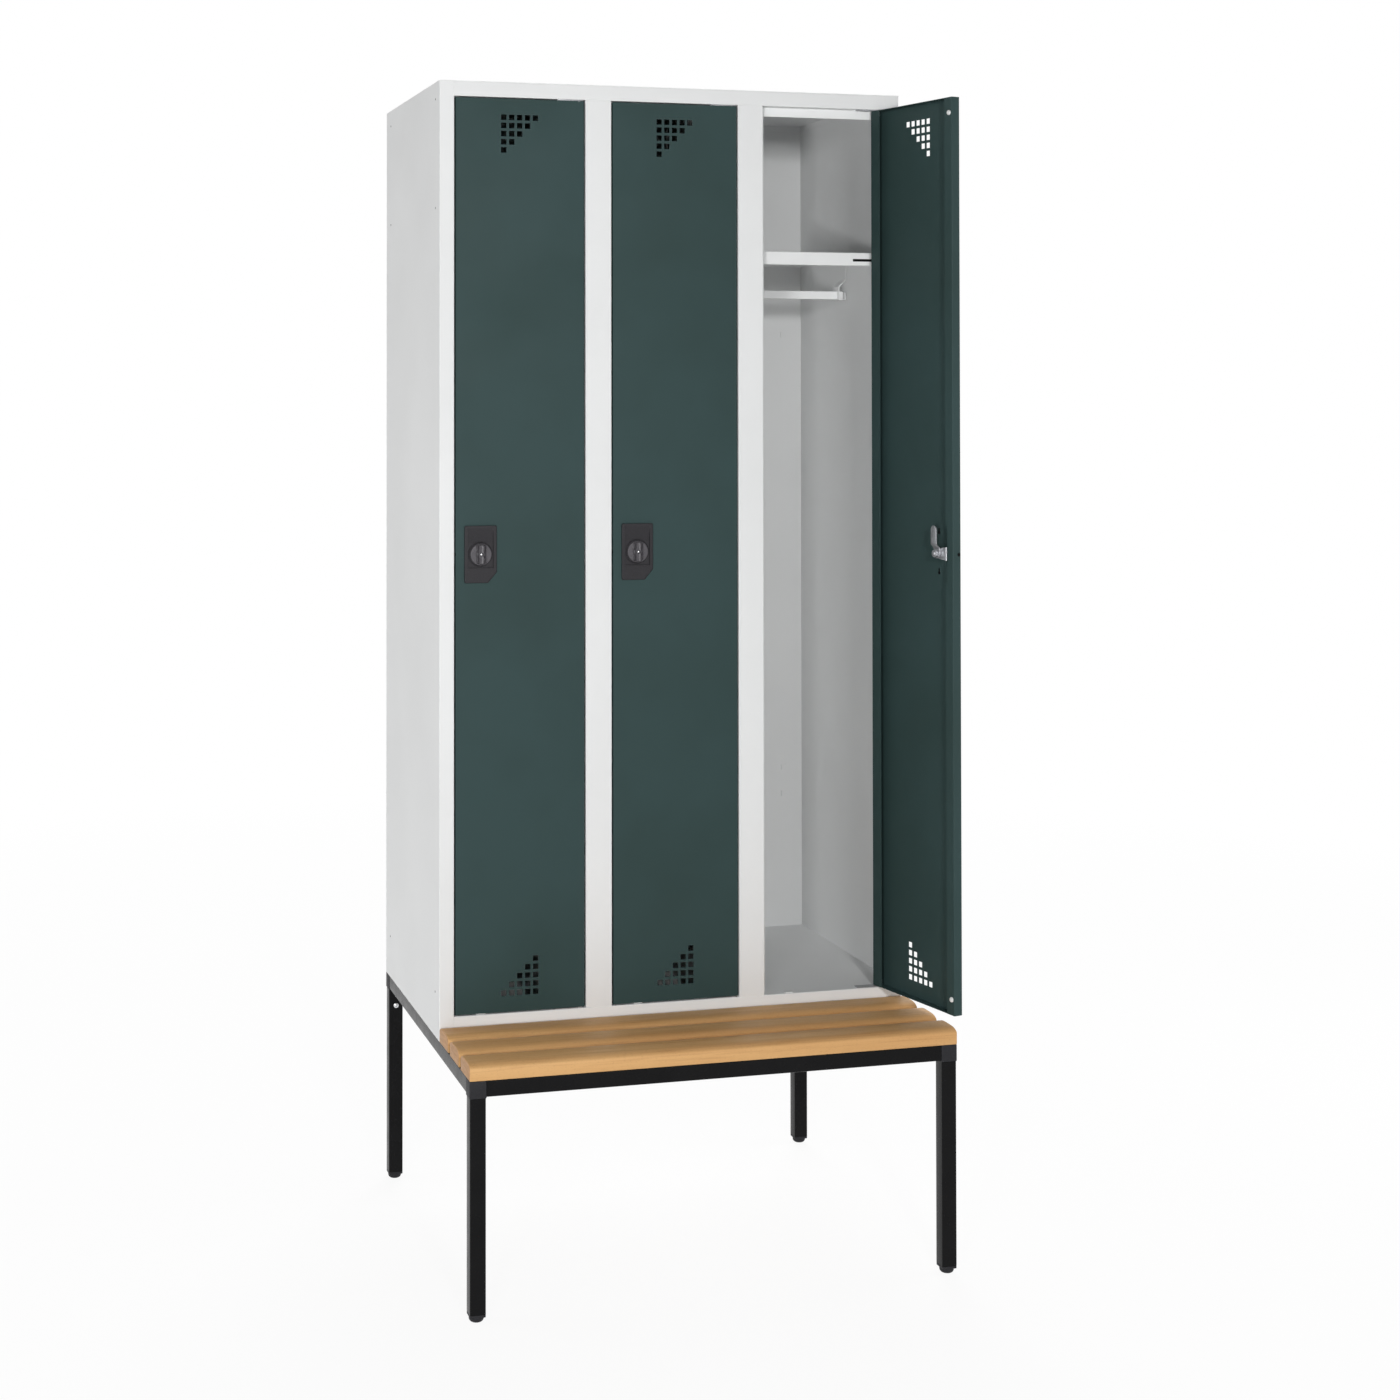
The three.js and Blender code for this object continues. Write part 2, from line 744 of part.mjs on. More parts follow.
// An L-shaped bracket stands on the door sheet beside the lip and holds the shaft's inner end
function lockBracket() {
  const standing = door.lockLip + bracket.fromLip;
  const hubEnd = lock.fromFreeEdge + bracket.hubRadius;
  const path = [
    [hubEnd, latch.seat],
    [standing, latch.seat],
    [standing, cabinet.sheet + fit.seat],
  ];
  const half = bracket.footHeight / 2;
  const section = bentSheet(path, bracket.thickness, bracket.bend);
  const strap = alongZ(section, lockHeight - half, lockHeight + half);
  const plan = new THREE.Shape();
  plan.moveTo(standing - fit.overrun, lockHeight - half);
  plan.lineTo(standing + bracket.thickness + bracket.bend, lockHeight - half);
  plan.absarc(lock.fromFreeEdge, lockHeight, bracket.hubRadius, -Math.PI / 2, Math.PI / 2);
  plan.lineTo(standing + bracket.thickness + bracket.bend, lockHeight + half);
  plan.lineTo(standing - fit.overrun, lockHeight + half);
  const shaftHole = rodY(
    lock.fromFreeEdge,
    lockHeight,
    knob.shaftRadius + fit.running,
    latch.seat - bracket.thickness - fit.overrun,
    latch.seat + fit.overrun,
  );
  return cut(common(strap, alongY(plan, 0, latch.seat + fit.overrun)), shaftHole);
}

// Latch pieces are drawn about the shaft: y from the door's front face, z up from the shaft's middle
function turnKnob() {
  const back = -fit.seat - lock.plateThickness + lock.recessDepth - fit.running;
  const face = back - knob.thickness;
  const shoulder = latch.seat;
  const profile = [
    [0, shoulder + knob.threadReach],
    [knob.threadRadius, shoulder + knob.threadReach],
    [knob.threadRadius, shoulder],
    [knob.shaftRadius, shoulder],
    [knob.shaftRadius, back],
    [knob.radius, back],
    [knob.radius, face + knob.bevel],
    [knob.radius - knob.bevel, face],
    [0, face],
  ].map(([x, y]) => new THREE.Vector2(x, y));
  const body = new THREE.LatheGeometry(profile.reverse(), roundSteps);
  const half = knob.gripWidth / 2;
  const narrow = knob.gripTopWidth / 2;
  const gripTop = face - knob.gripProud;
  const length = Math.sqrt((knob.radius - knob.bevel) ** 2 - half ** 2);
  const grip = alongZ(
    shapeOf([
      [-half, face + knob.bevel],
      [-narrow, gripTop],
      [narrow, gripTop],
      [half, face + knob.bevel],
    ]),
    -length,
    length,
  );
  const ridgeEdge = knob.ridgeSpread + knob.ridgeWidth / 2;
  const ridgeLength = Math.sqrt((knob.radius - knob.bevel) ** 2 - ridgeEdge ** 2);
  const ridge = (x) =>
    slab(
      x - knob.ridgeWidth / 2,
      x + knob.ridgeWidth / 2,
      face - knob.ridgeProud,
      face + knob.bevel,
      -ridgeLength,
      ridgeLength,
    );
  const holeFloor = gripTop + knob.holeDepth;
  const drilled = cut(
    joined(body, grip, ridge(knob.ridgeSpread), ridge(-knob.ridgeSpread)),
    rodY(0, 0, knob.holeRadius, gripTop - fit.overrun, holeFloor, pinSteps),
  );
  return joined(
    drilled,
    rodY(0, 0, knob.pinRadius, holeFloor - knob.pinHeight, holeFloor + knob.bevel, pinSteps),
  );
}

// The latch arm stands up from its hub and steps back so that it passes behind the stop flange
function latchArm() {
  const { thickness: t, hubRadius, crankLength, crankRise, width, reach } = latch;
  const y = latch.seat + fit.seat;
  const crankStart = hubRadius;
  const crankEnd = crankStart + crankLength;
  const side = shapeOf([
    [y, -hubRadius],
    [y + t, -hubRadius],
    [y + t, crankStart],
    [y + t + crankRise, crankEnd],
    [y + t + crankRise, reach],
    [y + crankRise, reach],
    [y + crankRise, crankEnd],
    [y, crankStart],
  ]);
  const tip = reach - width / 2;
  const plan = new THREE.Shape();
  plan.absarc(0, 0, hubRadius, Math.PI, 2 * Math.PI);
  plan.lineTo(hubRadius, crankStart);
  plan.lineTo(width / 2, crankEnd);
  plan.absarc(0, tip, width / 2, 0, Math.PI);
  plan.lineTo(-width / 2, crankEnd);
  plan.lineTo(-hubRadius, crankStart);
  const outline = alongY(plan, y - fit.overrun, y + t + crankRise + fit.overrun);
  const bar = alongX(side, -hubRadius - fit.overrun, hubRadius + fit.overrun);
  const threadHole = rodY(0, 0, knob.threadRadius + fit.seat, y - fit.overrun, y + t + fit.overrun);
  return cut(common(bar, outline), threadHole);
}

function latchNut() {
  const y = latch.seat + 2 * fit.seat + latch.thickness;
  const hexagonCorners = 6;
  const nutRadius = latch.nutAcross / 2 / Math.cos(Math.PI / hexagonCorners);
  return cut(
    rodY(0, 0, nutRadius, y, y + latch.nutThickness, hexagonCorners),
    rodY(0, 0, knob.threadRadius + fit.seat, y - fit.overrun, y + latch.nutThickness + fit.overrun),
  );
}

// Bench frame
function tubeSection(a, b) {
  const { tube, tubeWall: wall, tubeCorner, boreCorner } = bench;
  const section = roundedRectangle(a, b, a + tube, b + tube, tubeCorner);
  const far = tube - wall;
  section.holes.push(roundedRectangle(a + wall, b + wall, a + far, b + far, boreCorner, THREE.Path));
  return section;
}

// What fits inside a tube whose own section starts at the same corner
function spigotSection(a, b) {
  const near = bench.tubeWall + fit.seat;
  const far = bench.tube - near;
  return roundedRectangle(a + near, b + near, a + far, b + far, bench.boreCorner);
}

const frameTop = bench.frameHeight;
const tubeBottom = frameTop - bench.tube;
const connectorBottom = frameTop - bench.connector;
const tubeLeft = tubeInset;
const tubeRight = cabinet.width - tubeInset - bench.tube;
const tubeFront = benchFront + tubeInset;
const tubeBack = cabinet.depth - tubeInset - bench.tube;
const slatRear = (k) => benchFront + slat.width + k * (slat.width + slat.gap);

function crossTube(y) {
  return alongX(tubeSection(y, tubeBottom), bench.connector, cabinet.width - bench.connector);
}

function sideTube(x) {
  const middle = x + bench.tube / 2;
  const ends = [benchFront + bench.connector, cabinet.depth - bench.connector];
  const tube = alongY(tubeSection(x, tubeBottom), ...ends);
  const through = (px, py, radius) =>
    rodZ(px, py, radius, tubeBottom - fit.overrun, frameTop + fit.overrun, holeSteps);
  const boltX = x < cabinet.width / 2 ? boltHoles.fromSide : cabinet.width - boltHoles.fromSide;
  const screwHoles = Array.from({ length: slat.count }, (_, k) =>
    through(middle, slatRear(k) - slatScrewHoles.fromRearEdge, slatScrewHoles.radius),
  );
  return cut(tube, ...screwHoles, through(boltX, cabinet.depth - boltHoles.fromBack, boltHoles.radius));
}

// A screw goes through each leg's inward face into the connector's spigot
function legScrewHole(x, y) {
  const face = y < 0 ? y + bench.tube : y;
  const inward = y < 0 ? -legScrewHoles.depth : legScrewHoles.depth;
  const outward = y < 0 ? fit.overrun : -fit.overrun;
  const reach = [face + inward, face + outward].sort((a, b) => a - b);
  return rodY(
    x + bench.tube / 2,
    connectorBottom - legScrewHoles.belowTube,
    legScrewHoles.radius,
    ...reach,
    pinSteps,
  );
}

function leg(x, y) {
  return cut(alongZ(tubeSection(x, y), bench.legLift, connectorBottom), legScrewHole(x, y));
}

// A corner connector is a cube with a spigot for each of the three tubes that meet there
function connector(x, y) {
  const { connector: size, connectorCorner, spigotLength, legSpigotLength } = bench;
  const outline = roundedRectangle(x, y, x + size, y + size, connectorCorner);
  const cube = alongZ(outline, connectorBottom, frameTop);
  const tubeX = x + tubeInset;
  const tubeY = y + tubeInset;
  const half = size / 2;
  const reach = (start, forwards) =>
    forwards ? [start + half, start + size + spigotLength] : [start - spigotLength, start + half];
  const [x0, x1] = reach(x, x < cabinet.width / 2);
  const [y0, y1] = reach(y, y < 0);
  const cross = joined(
    cube,
    alongX(spigotSection(tubeY, tubeBottom), x0, x1),
    alongY(spigotSection(tubeX, tubeBottom), y0, y1),
    alongZ(spigotSection(tubeX, tubeY), connectorBottom - legSpigotLength, frameTop - half),
  );
  return cut(cross, legScrewHole(x + tubeInset, y + tubeInset));
}

function footGlide(x, y) {
  const centreX = x + bench.tube / 2;
  const centreY = y + bench.tube / 2;
  const { radius, rounding, height } = foot;
  const profile = [new THREE.Vector2(0, 0)];
  for (let k = 0; k <= arcSteps; k++) {
    const angle = ((k / arcSteps) * Math.PI) / 2;
    const centre = radius - rounding;
    profile.push(
      new THREE.Vector2(centre + rounding * Math.sin(angle), rounding - rounding * Math.cos(angle)),
    );
  }
  profile.push(new THREE.Vector2(radius, height), new THREE.Vector2(0, height));
  const pad = new THREE.LatheGeometry(profile, footSteps)
    .rotateX(Math.PI / 2)
    .translate(centreX, centreY, 0);
  const collar = alongZ(
    roundedRectangle(x, y, x + bench.tube, y + bench.tube, bench.tubeCorner),
    height - fit.seat,
    bench.legLift,
  );
  const spigot = alongZ(spigotSection(x, y), height, bench.legLift + foot.spigotLength);
  return joined(pad, collar, spigot);
}

// A slat's section has upright edges and a crowned top that stays flat across its middle
function seatSlat(k) {
  const y1 = slatRear(k);
  const y0 = y1 - slat.width;
  const points = [
    [y0, frameTop],
    [y1, frameTop],
  ];
  for (let step = 0; step <= slat.crownSteps; step++) {
    const share = 1 - (2 * step) / slat.crownSteps;
    const across = Math.sign(share) * Math.sqrt(Math.abs(share));
    points.push([
      (y0 + y1) / 2 + (across * slat.width) / 2,
      frameTop + slat.edge + slat.crown * (1 - Math.abs(across) ** slat.crownPower),
    ]);
  }
  const board = alongX(shapeOf(points), 0, cabinet.width);
  const pilots = [tubeLeft, tubeRight].map((x) =>
    rodZ(
      x + bench.tube / 2,
      y1 - slatScrewHoles.fromRearEdge,
      slatScrewHoles.radius,
      frameTop - fit.overrun,
      frameTop + slatScrewHoles.depth,
      holeSteps,
    ),
  );
  return cut(board, ...pilots);
}

// Assembly
const locker = new THREE.Group();
const postCentre = (i) => openingRight(i) + frontFrame.middlePost / 2;

add(locker, "side_panel_left", sidePanel(true), lightGrey);
add(locker, "side_panel_right", sidePanel(false), lightGrey);
["left", "right"].forEach((side, i) => {
  add(locker, `partition_${side}`, partition((i + 1) * compartmentPitch), lightGrey);
  add(locker, `middle_post_${side}`, middlePost(postCentre(i)), lightGrey);
});
add(locker, "back_panel", backPanel(), lightGrey);
add(locker, "top_panel", topPanel(), lightGrey);
add(locker, "top_rail", topRail(), lightGrey);
add(locker, "floor_tray", floorTray(), lightGrey);
numbers.forEach((i) => {
  add(locker, `hat_shelf_${i + 1}`, shelf(i), lightGrey);
  add(locker, `clothes_rail_${i + 1}`, hangingRail(i), lightGrey);
  add(locker, `hinge_upper_${i + 1}`, upperHinge(i), zinc);
  add(locker, `hinge_lower_${i + 1}`, lowerHinge(i), zinc);
});

numbers.forEach((i) => {
  const onItsPins = new THREE.Group();
  onItsPins.position.set(pivotX(i), pivotY, 0);
  onItsPins.rotation.z = i === cabinet.compartments - 1 ? door.standingOpen : 0;
  const leaf = new THREE.Group();
  leaf.position.set(door.pivotInset - doorWidth, -door.pivotSetback, 0);
  onItsPins.add(leaf);
  locker.add(onItsPins);
  const number = i + 1;
  add(leaf, `door_${number}_panel`, doorPanel(), darkGreen);
  add(leaf, `door_${number}_lock_plate`, lockPlate(), lockBlack);
  add(leaf, `door_${number}_lock_bracket`, lockBracket(), zinc);
  const shaft = new THREE.Group();
  shaft.position.set(lock.fromFreeEdge, 0, lockHeight);
  leaf.add(shaft);
  add(shaft, `latch_${number}_knob`, turnKnob(), knobGrey);
  add(shaft, `latch_${number}_arm`, latchArm(), zinc);
  add(shaft, `latch_${number}_nut`, latchNut(), zinc);
});

add(locker, "bench_tube_front", crossTube(tubeFront), frameBlack);
add(locker, "bench_tube_back", crossTube(tubeBack), frameBlack);
add(locker, "bench_tube_left", sideTube(tubeLeft), frameBlack);
add(locker, "bench_tube_right", sideTube(tubeRight), frameBlack);
const corners = [
  ["front_left", 0, benchFront],
  ["front_right", cabinet.width - bench.connector, benchFront],
  ["back_left", 0, cabinet.depth - bench.connector],
  ["back_right", cabinet.width - bench.connector, cabinet.depth - bench.connector],
];
corners.forEach(([place, x, y]) => {
  add(locker, `leg_${place}`, leg(x + tubeInset, y + tubeInset), frameBlack);
  add(locker, `connector_${place}`, connector(x, y), connectorGrey);
  add(locker, `foot_glide_${place}`, footGlide(x + tubeInset, y + tubeInset), connectorGrey);
});
const slatNames = ["front", "middle", "rear"];
for (let k = 0; k < slat.count; k++) {
  add(locker, `seat_slat_${slatNames[k] || k + 1}`, seatSlat(k), beech);
}
// The origin: on the floor, under the middle of the locker's whole reach with its right door open
locker.updateMatrixWorld(true);
const reach = new THREE.Box3().setFromObject(locker, true);
const middle = reach.getCenter(new THREE.Vector3());
locker.position.set(-middle.x, -middle.y, -reach.min.z);

export default locker;
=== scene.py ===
import json
import math

import bmesh
import bpy
import numpy as np
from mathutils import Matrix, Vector

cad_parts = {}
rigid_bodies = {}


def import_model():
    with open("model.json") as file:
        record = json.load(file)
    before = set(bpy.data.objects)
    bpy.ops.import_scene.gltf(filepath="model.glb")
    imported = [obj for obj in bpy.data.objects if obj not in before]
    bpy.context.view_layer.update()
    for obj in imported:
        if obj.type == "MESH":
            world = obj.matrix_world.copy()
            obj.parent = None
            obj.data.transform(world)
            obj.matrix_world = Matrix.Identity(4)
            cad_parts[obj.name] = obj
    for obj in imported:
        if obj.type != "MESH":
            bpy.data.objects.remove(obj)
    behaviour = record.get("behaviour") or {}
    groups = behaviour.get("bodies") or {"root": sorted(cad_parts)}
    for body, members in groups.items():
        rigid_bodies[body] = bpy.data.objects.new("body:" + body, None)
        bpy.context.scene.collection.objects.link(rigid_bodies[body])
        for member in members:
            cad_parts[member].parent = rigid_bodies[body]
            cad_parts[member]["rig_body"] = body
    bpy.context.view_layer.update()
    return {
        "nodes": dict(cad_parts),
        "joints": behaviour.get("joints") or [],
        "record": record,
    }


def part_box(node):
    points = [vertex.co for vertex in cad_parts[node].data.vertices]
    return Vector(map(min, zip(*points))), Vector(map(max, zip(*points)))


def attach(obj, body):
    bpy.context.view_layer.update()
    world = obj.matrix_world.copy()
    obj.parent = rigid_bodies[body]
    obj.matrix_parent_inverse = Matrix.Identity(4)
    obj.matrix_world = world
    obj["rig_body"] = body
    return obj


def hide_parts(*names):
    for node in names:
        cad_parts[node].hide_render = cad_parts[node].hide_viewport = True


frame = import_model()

print("frame loaded:", len(frame["nodes"]), "nodes")

# Measures below are in millimetres from the cabinet's left front edge at floor level:
# x to the right, y to the back, z up. placed() puts them into the row frame, in metres.
perMetre = 1000     # millimetres in a metre
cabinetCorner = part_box("top_panel")[0] * Vector((1, 1, 0))
hingeOf = {joint["child"]: joint for joint in frame["joints"] if joint["child"].startswith("door")}
doorPlan = {
    "width": 243.333,
    "pivotInset": 9,
    "pivotSetback": 6.5,
    "bottom": 455.5,
    "top": 2119.5,
    "openAngle": math.radians(103),   # the right door stands open, the others are shut
    "doors": (1, 2, 3),
    "openDoor": 3,
}
shaftPlace = {"fromFreeEdge": 46, "height": 1287.5}
cabinetPlan = {"width": 900, "depth": 500}


# the cabinet's corner plus the points, from millimetres to metres
def placed(points):
    return np.array(cabinetCorner) + np.asarray(points, float) / perMetre


# door points: x from the free edge, y from the front face, turned about the hinge by the door's angle
def placedOnDoor(number, points):
    pivot = hingeOf[f"door_{number}"]["pos_m"]
    points = np.asarray(points, float)
    across = points[:, 0] - (doorPlan["width"] - doorPlan["pivotInset"])
    back = points[:, 1] - doorPlan["pivotSetback"]
    angle = doorPlan["openAngle"] if number == doorPlan["openDoor"] else 0.0
    turnedX = across * math.cos(angle) - back * math.sin(angle)
    turnedY = across * math.sin(angle) + back * math.cos(angle)
    metres = np.stack([turnedX, turnedY, points[:, 2]], axis=1) / perMetre
    return metres + np.array([pivot[0], pivot[1], 0.0])


# quads between neighbouring rows and columns of a grid of points, numbered row by row; a closed side
# wraps round to its start
def gridFaces(rows, columns, closedRows=False, closedColumns=False):
    row = np.arange(rows if closedRows else rows - 1)
    column = np.arange(columns if closedColumns else columns - 1)
    row, column = (a.ravel() for a in np.meshgrid(row, column, indexing="ij"))
    nextRow, nextColumn = (row + 1) % rows, (column + 1) % columns
    corners = [row * columns + column, nextRow * columns + column]
    corners += [nextRow * columns + nextColumn, row * columns + nextColumn]
    return np.stack(corners, axis=1)


# one shell after another: the faces of each count on from the points before it
def gathered(*shells):
    points = [shellPoints for shellPoints, _ in shells]
    starts = np.cumsum([0, *map(len, points)])
    faces = [shellFaces + start for (_, shellFaces), start in zip(shells, starts)]
    return np.concatenate(points), np.concatenate(faces)


shading = {"smoothBelow": math.radians(38), "mergeDistance": 2e-6}


# mesh from points in metres; doubles merged, faces turned outwards, smooth below the angle above
def makePiece(name, shell, material, body, replaces=()):
    points, faces = shell
    mesh = bpy.data.meshes.new(name)
    mesh.from_pydata(points.tolist(), [], faces.tolist())
    work = bmesh.new()
    work.from_mesh(mesh)
    bmesh.ops.remove_doubles(work, verts=work.verts, dist=shading["mergeDistance"])
    bmesh.ops.recalc_face_normals(work, faces=work.faces)
    work.to_mesh(mesh)
    work.free()
    mesh.shade_smooth()
    mesh.set_sharp_from_angle(angle=shading["smoothBelow"])
    mesh.materials.append(material)
    piece = bpy.data.objects.new(name, mesh)
    bpy.context.scene.collection.objects.link(piece)
    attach(piece, body)
    if replaces:
        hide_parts(*replaces)
    return piece


# rounded rectangle: four corner arcs of radius r about their centres, with the outward normal of each point
def roundedSection(a0, b0, a1, b1, radius, steps):
    angle = np.linspace(0, np.pi / 2, steps + 1)
    corners = [(a1 - radius, b1 - radius, 0), (a0 + radius, b1 - radius, 1)]
    corners += [(a0 + radius, b0 + radius, 2), (a1 - radius, b0 + radius, 3)]
    points, normals = [], []
    for centreA, centreB, quarter in corners:
        turned = angle + quarter * np.pi / 2
        normal = np.stack([np.cos(turned), np.sin(turned)], axis=1)
        points.append(np.array([centreA, centreB]) + radius * normal)
        normals.append(normal)
    return np.concatenate(points), np.concatenate(normals)


# axis 0, 1 or 2 takes the along values and the other two, in order, take the section's
def carriedTo(axis, along, section):
    order = [i for i in range(3) if i != axis]
    points = np.empty((len(section), 3))
    points[:, axis] = along
    points[:, order[0]] = section[:, 0]
    points[:, order[1]] = section[:, 1]
    return points


# a section carried from start to end; near each end it steps in along a quarter circle of radius edge,
# and each end closes as a fan round the section's middle
def bar(section, normals, axis, start, end, edge, steps=4):
    turn = np.linspace(0, np.pi / 2, steps + 1)
    inset = edge * (1 - np.sin(turn))
    ahead = edge * (1 - np.cos(turn))
    along = np.concatenate([start + ahead, (end - ahead)[::-1]])
    insets = np.concatenate([inset, inset[::-1]])
    rings = [carriedTo(axis, a, section - normals * i) for a, i in zip(along, insets)]
    middle = (section.min(axis=0) + section.max(axis=0)) / 2 + section * 0
    rings = [carriedTo(axis, start, middle), *rings, carriedTo(axis, end, middle)]
    return np.concatenate(rings), gridFaces(len(rings), len(section), closedColumns=True)


# a tube: the section's outer wall out and its inner wall back, each rim rounded by rim
def tube(section, normals, axis, start, end, wall, rim):
    loop = [(start, wall - rim), (start, rim), (start + rim, 0), (end - rim, 0)]
    loop += [(end, rim), (end, wall - rim), (end - rim, wall), (start + rim, wall)]
    points = [carriedTo(axis, along, section - normals * inset) for along, inset in loop]
    return np.concatenate(points), gridFaces(len(loop), len(section), True, True)


# a profile of (radius, along) turned round an axis through centre; the two ends on the axis close it
def turned(profile, axis, centre, steps):
    profile = np.asarray(profile, float)
    angle = np.linspace(0, 2 * np.pi, steps, endpoint=False)
    ring = np.stack([np.cos(angle), np.sin(angle)], axis=1)
    points = [carriedTo(axis, along, ring * radius) for radius, along in profile]
    faces = gridFaces(len(profile), steps, closedColumns=True)
    return np.concatenate(points) + np.asarray(centre, float), faces


# 0 below low, 1 above high, and t*t*(3-2t) between them
def eased(value, low, high):
    t = np.clip((value - low) / (high - low), 0, 1)
    return t * t * (3 - 2 * t)


# Materials
# band is the part of a noise's range that is spread over the whole scale
patternLook = {
    "band": (0.3, 0.7), "cloudBand": (0.35, 0.65), "mottleBand": (0.32, 0.68),
    "plasticGloss": 0.05, "zincGloss": 0.1,
}


# a material's nodes with its shader ready; place is the Object coordinate
class Finish:
    def __init__(self, name):
        self.material = bpy.data.materials.new(name)
        self.material.use_nodes = True
        self.tree = self.material.node_tree
        self.tree.nodes.clear()
        self.output = self.add("ShaderNodeOutputMaterial")
        self.shader = self.add("ShaderNodeBsdfPrincipled")
        self.tree.links.new(self.shader.outputs[0], self.output.inputs["Surface"])
        self.coordinates = self.add("ShaderNodeTexCoord")
        self.place = self.coordinates.outputs["Object"]

    def add(self, kind, **settings):
        node = self.tree.nodes.new(kind)
        for key, value in settings.items():
            setattr(node, key, value)
        return node

    # a link where the value is a socket, and a plain number or colour where it isn't
    def give(self, socket, value):
        if isinstance(value, bpy.types.NodeSocket):
            self.tree.links.new(value, socket)
        else:
            socket.default_value = value

    # the Object coordinate times the stretch along each axis
    def scaled(self, stretch):
        mapping = self.add("ShaderNodeMapping")
        self.give(mapping.inputs["Vector"], self.place)
        self.give(mapping.inputs["Scale"], stretch)
        return mapping.outputs[0]

    # soft noise, about 0 to 1
    def noise(self, stretch, detail=2.0, roughness=0.5, distortion=0.0):
        texture = self.add("ShaderNodeTexNoise")
        self.give(texture.inputs["Vector"], self.scaled(stretch))
        self.give(texture.inputs["Scale"], 1.0)
        self.give(texture.inputs["Detail"], detail)
        self.give(texture.inputs["Roughness"], roughness)
        self.give(texture.inputs["Distortion"], distortion)
        return texture.outputs[0]

    # cells about scattered points, each of its own colour
    def cells(self, stretch):
        texture = self.add("ShaderNodeTexVoronoi")
        self.give(texture.inputs["Vector"], self.scaled(stretch))
        self.give(texture.inputs["Scale"], 1.0)
        self.give(texture.inputs["Randomness"], 1.0)
        return texture.outputs["Color"]

    # the value's stretch from low to high spread over toLow to toHigh, clamped
    def spread(self, value, low, high, toLow, toHigh):
        ranged = self.add("ShaderNodeMapRange")
        for index, item in enumerate((value, low, high, toLow, toHigh)):
            self.give(ranged.inputs[index], item)
        return ranged.outputs[0]

    # the first colour at share 0, the second at share 1
    def mixed(self, share, first, second):
        mix = self.add("ShaderNodeMix", data_type="RGBA")
        for index, item in ((0, share), (6, first), (7, second)):
            self.give(mix.inputs[index], item)
        return mix.outputs[2]

    # the surface leans as if raised by the height times the distance, in metres
    def bumped(self, height, distance):
        bump = self.add("ShaderNodeBump")
        self.give(bump.inputs["Height"], height)
        self.give(bump.inputs["Distance"], distance)
        self.give(bump.inputs["Strength"], 1.0)
        self.give(self.shader.inputs["Normal"], bump.outputs[0])

    # the shader's own sockets by name, with an underscore for each space
    def set(self, **sockets):
        for key, value in sockets.items():
            self.give(self.shader.inputs[key.replace("_", " ")], value)
        return self.material


# colours are written as they look on a screen, 0 to 255, and turned to linear light here
def color(red, green, blue):
    share = np.array([red, green, blue]) / 255
    linear = np.where(share <= 0.04045, share / 12.92, ((share + 0.055) / 1.055) ** 2.4)
    return (*linear.tolist(), 1.0)


# the same stretch along all three axes
def same(size):
    return (size, size, size)


# powder coat: two close tones in wide soft clouds, a fine orange peel and a slow change of gloss
def powderCoat(name, look):
    finish = Finish(name)
    clouds = finish.noise(same(look["cloudScale"]), detail=3)
    tone = finish.mixed(finish.spread(clouds, *patternLook["cloudBand"], 0, 1), look["dark"], look["light"])
    peel = finish.noise(same(look["peelScale"]), detail=2)
    gloss = finish.noise(same(look["glossScale"]), detail=2)
    finish.bumped(peel, look["peelDepth"])
    mild, wide = look["rough"] - look["roughSpread"], look["rough"] + look["roughSpread"]
    rough = finish.spread(gloss, *patternLook["band"], mild, wide)
    return finish.set(Base_Color=tone, Roughness=rough, Specular_IOR_Level=look["specular"])


bodyPaintLook = {
    "light": color(233, 234, 234), "dark": color(229, 230, 230), "cloudScale": 3.0,
    "peelScale": 700.0, "peelDepth": 0.00002, "glossScale": 9.0,
    "rough": 0.5, "roughSpread": 0.04, "specular": 0.14,
}
doorPaintLook = {
    "light": color(52, 71, 71), "dark": color(48, 66, 65), "cloudScale": 4.0,
    "peelScale": 700.0, "peelDepth": 0.00003, "glossScale": 11.0,
    "rough": 0.5, "roughSpread": 0.05, "specular": 0.13,
}
framePaintLook = {
    "light": color(15, 15, 16), "dark": color(11, 11, 12), "cloudScale": 14.0,
    "peelScale": 900.0, "peelDepth": 0.00003, "glossScale": 30.0,
    "rough": 0.27, "roughSpread": 0.04, "specular": 0.12,
}
bodyPaint = powderCoat("bodyPaint", bodyPaintLook)
doorPaint = powderCoat("doorPaint", doorPaintLook)
framePaint = powderCoat("framePaint", framePaintLook)


# moulded plastic: a speckle of two tones and a fine spark-eroded grain
def mouldedPlastic(name, look):
    finish = Finish(name)
    speckle = finish.noise(same(look["speckleScale"]), detail=4)
    tone = finish.mixed(finish.spread(speckle, *patternLook["band"], 0, 1), look["dark"], look["light"])
    grain = finish.noise(same(look["grainScale"]), detail=3)
    finish.bumped(grain, look["grainDepth"])
    change = patternLook["plasticGloss"]
    rough = finish.spread(speckle, *patternLook["band"], look["rough"] - change, look["rough"] + change)
    return finish.set(Base_Color=tone, Roughness=rough, Specular_IOR_Level=look["specular"])


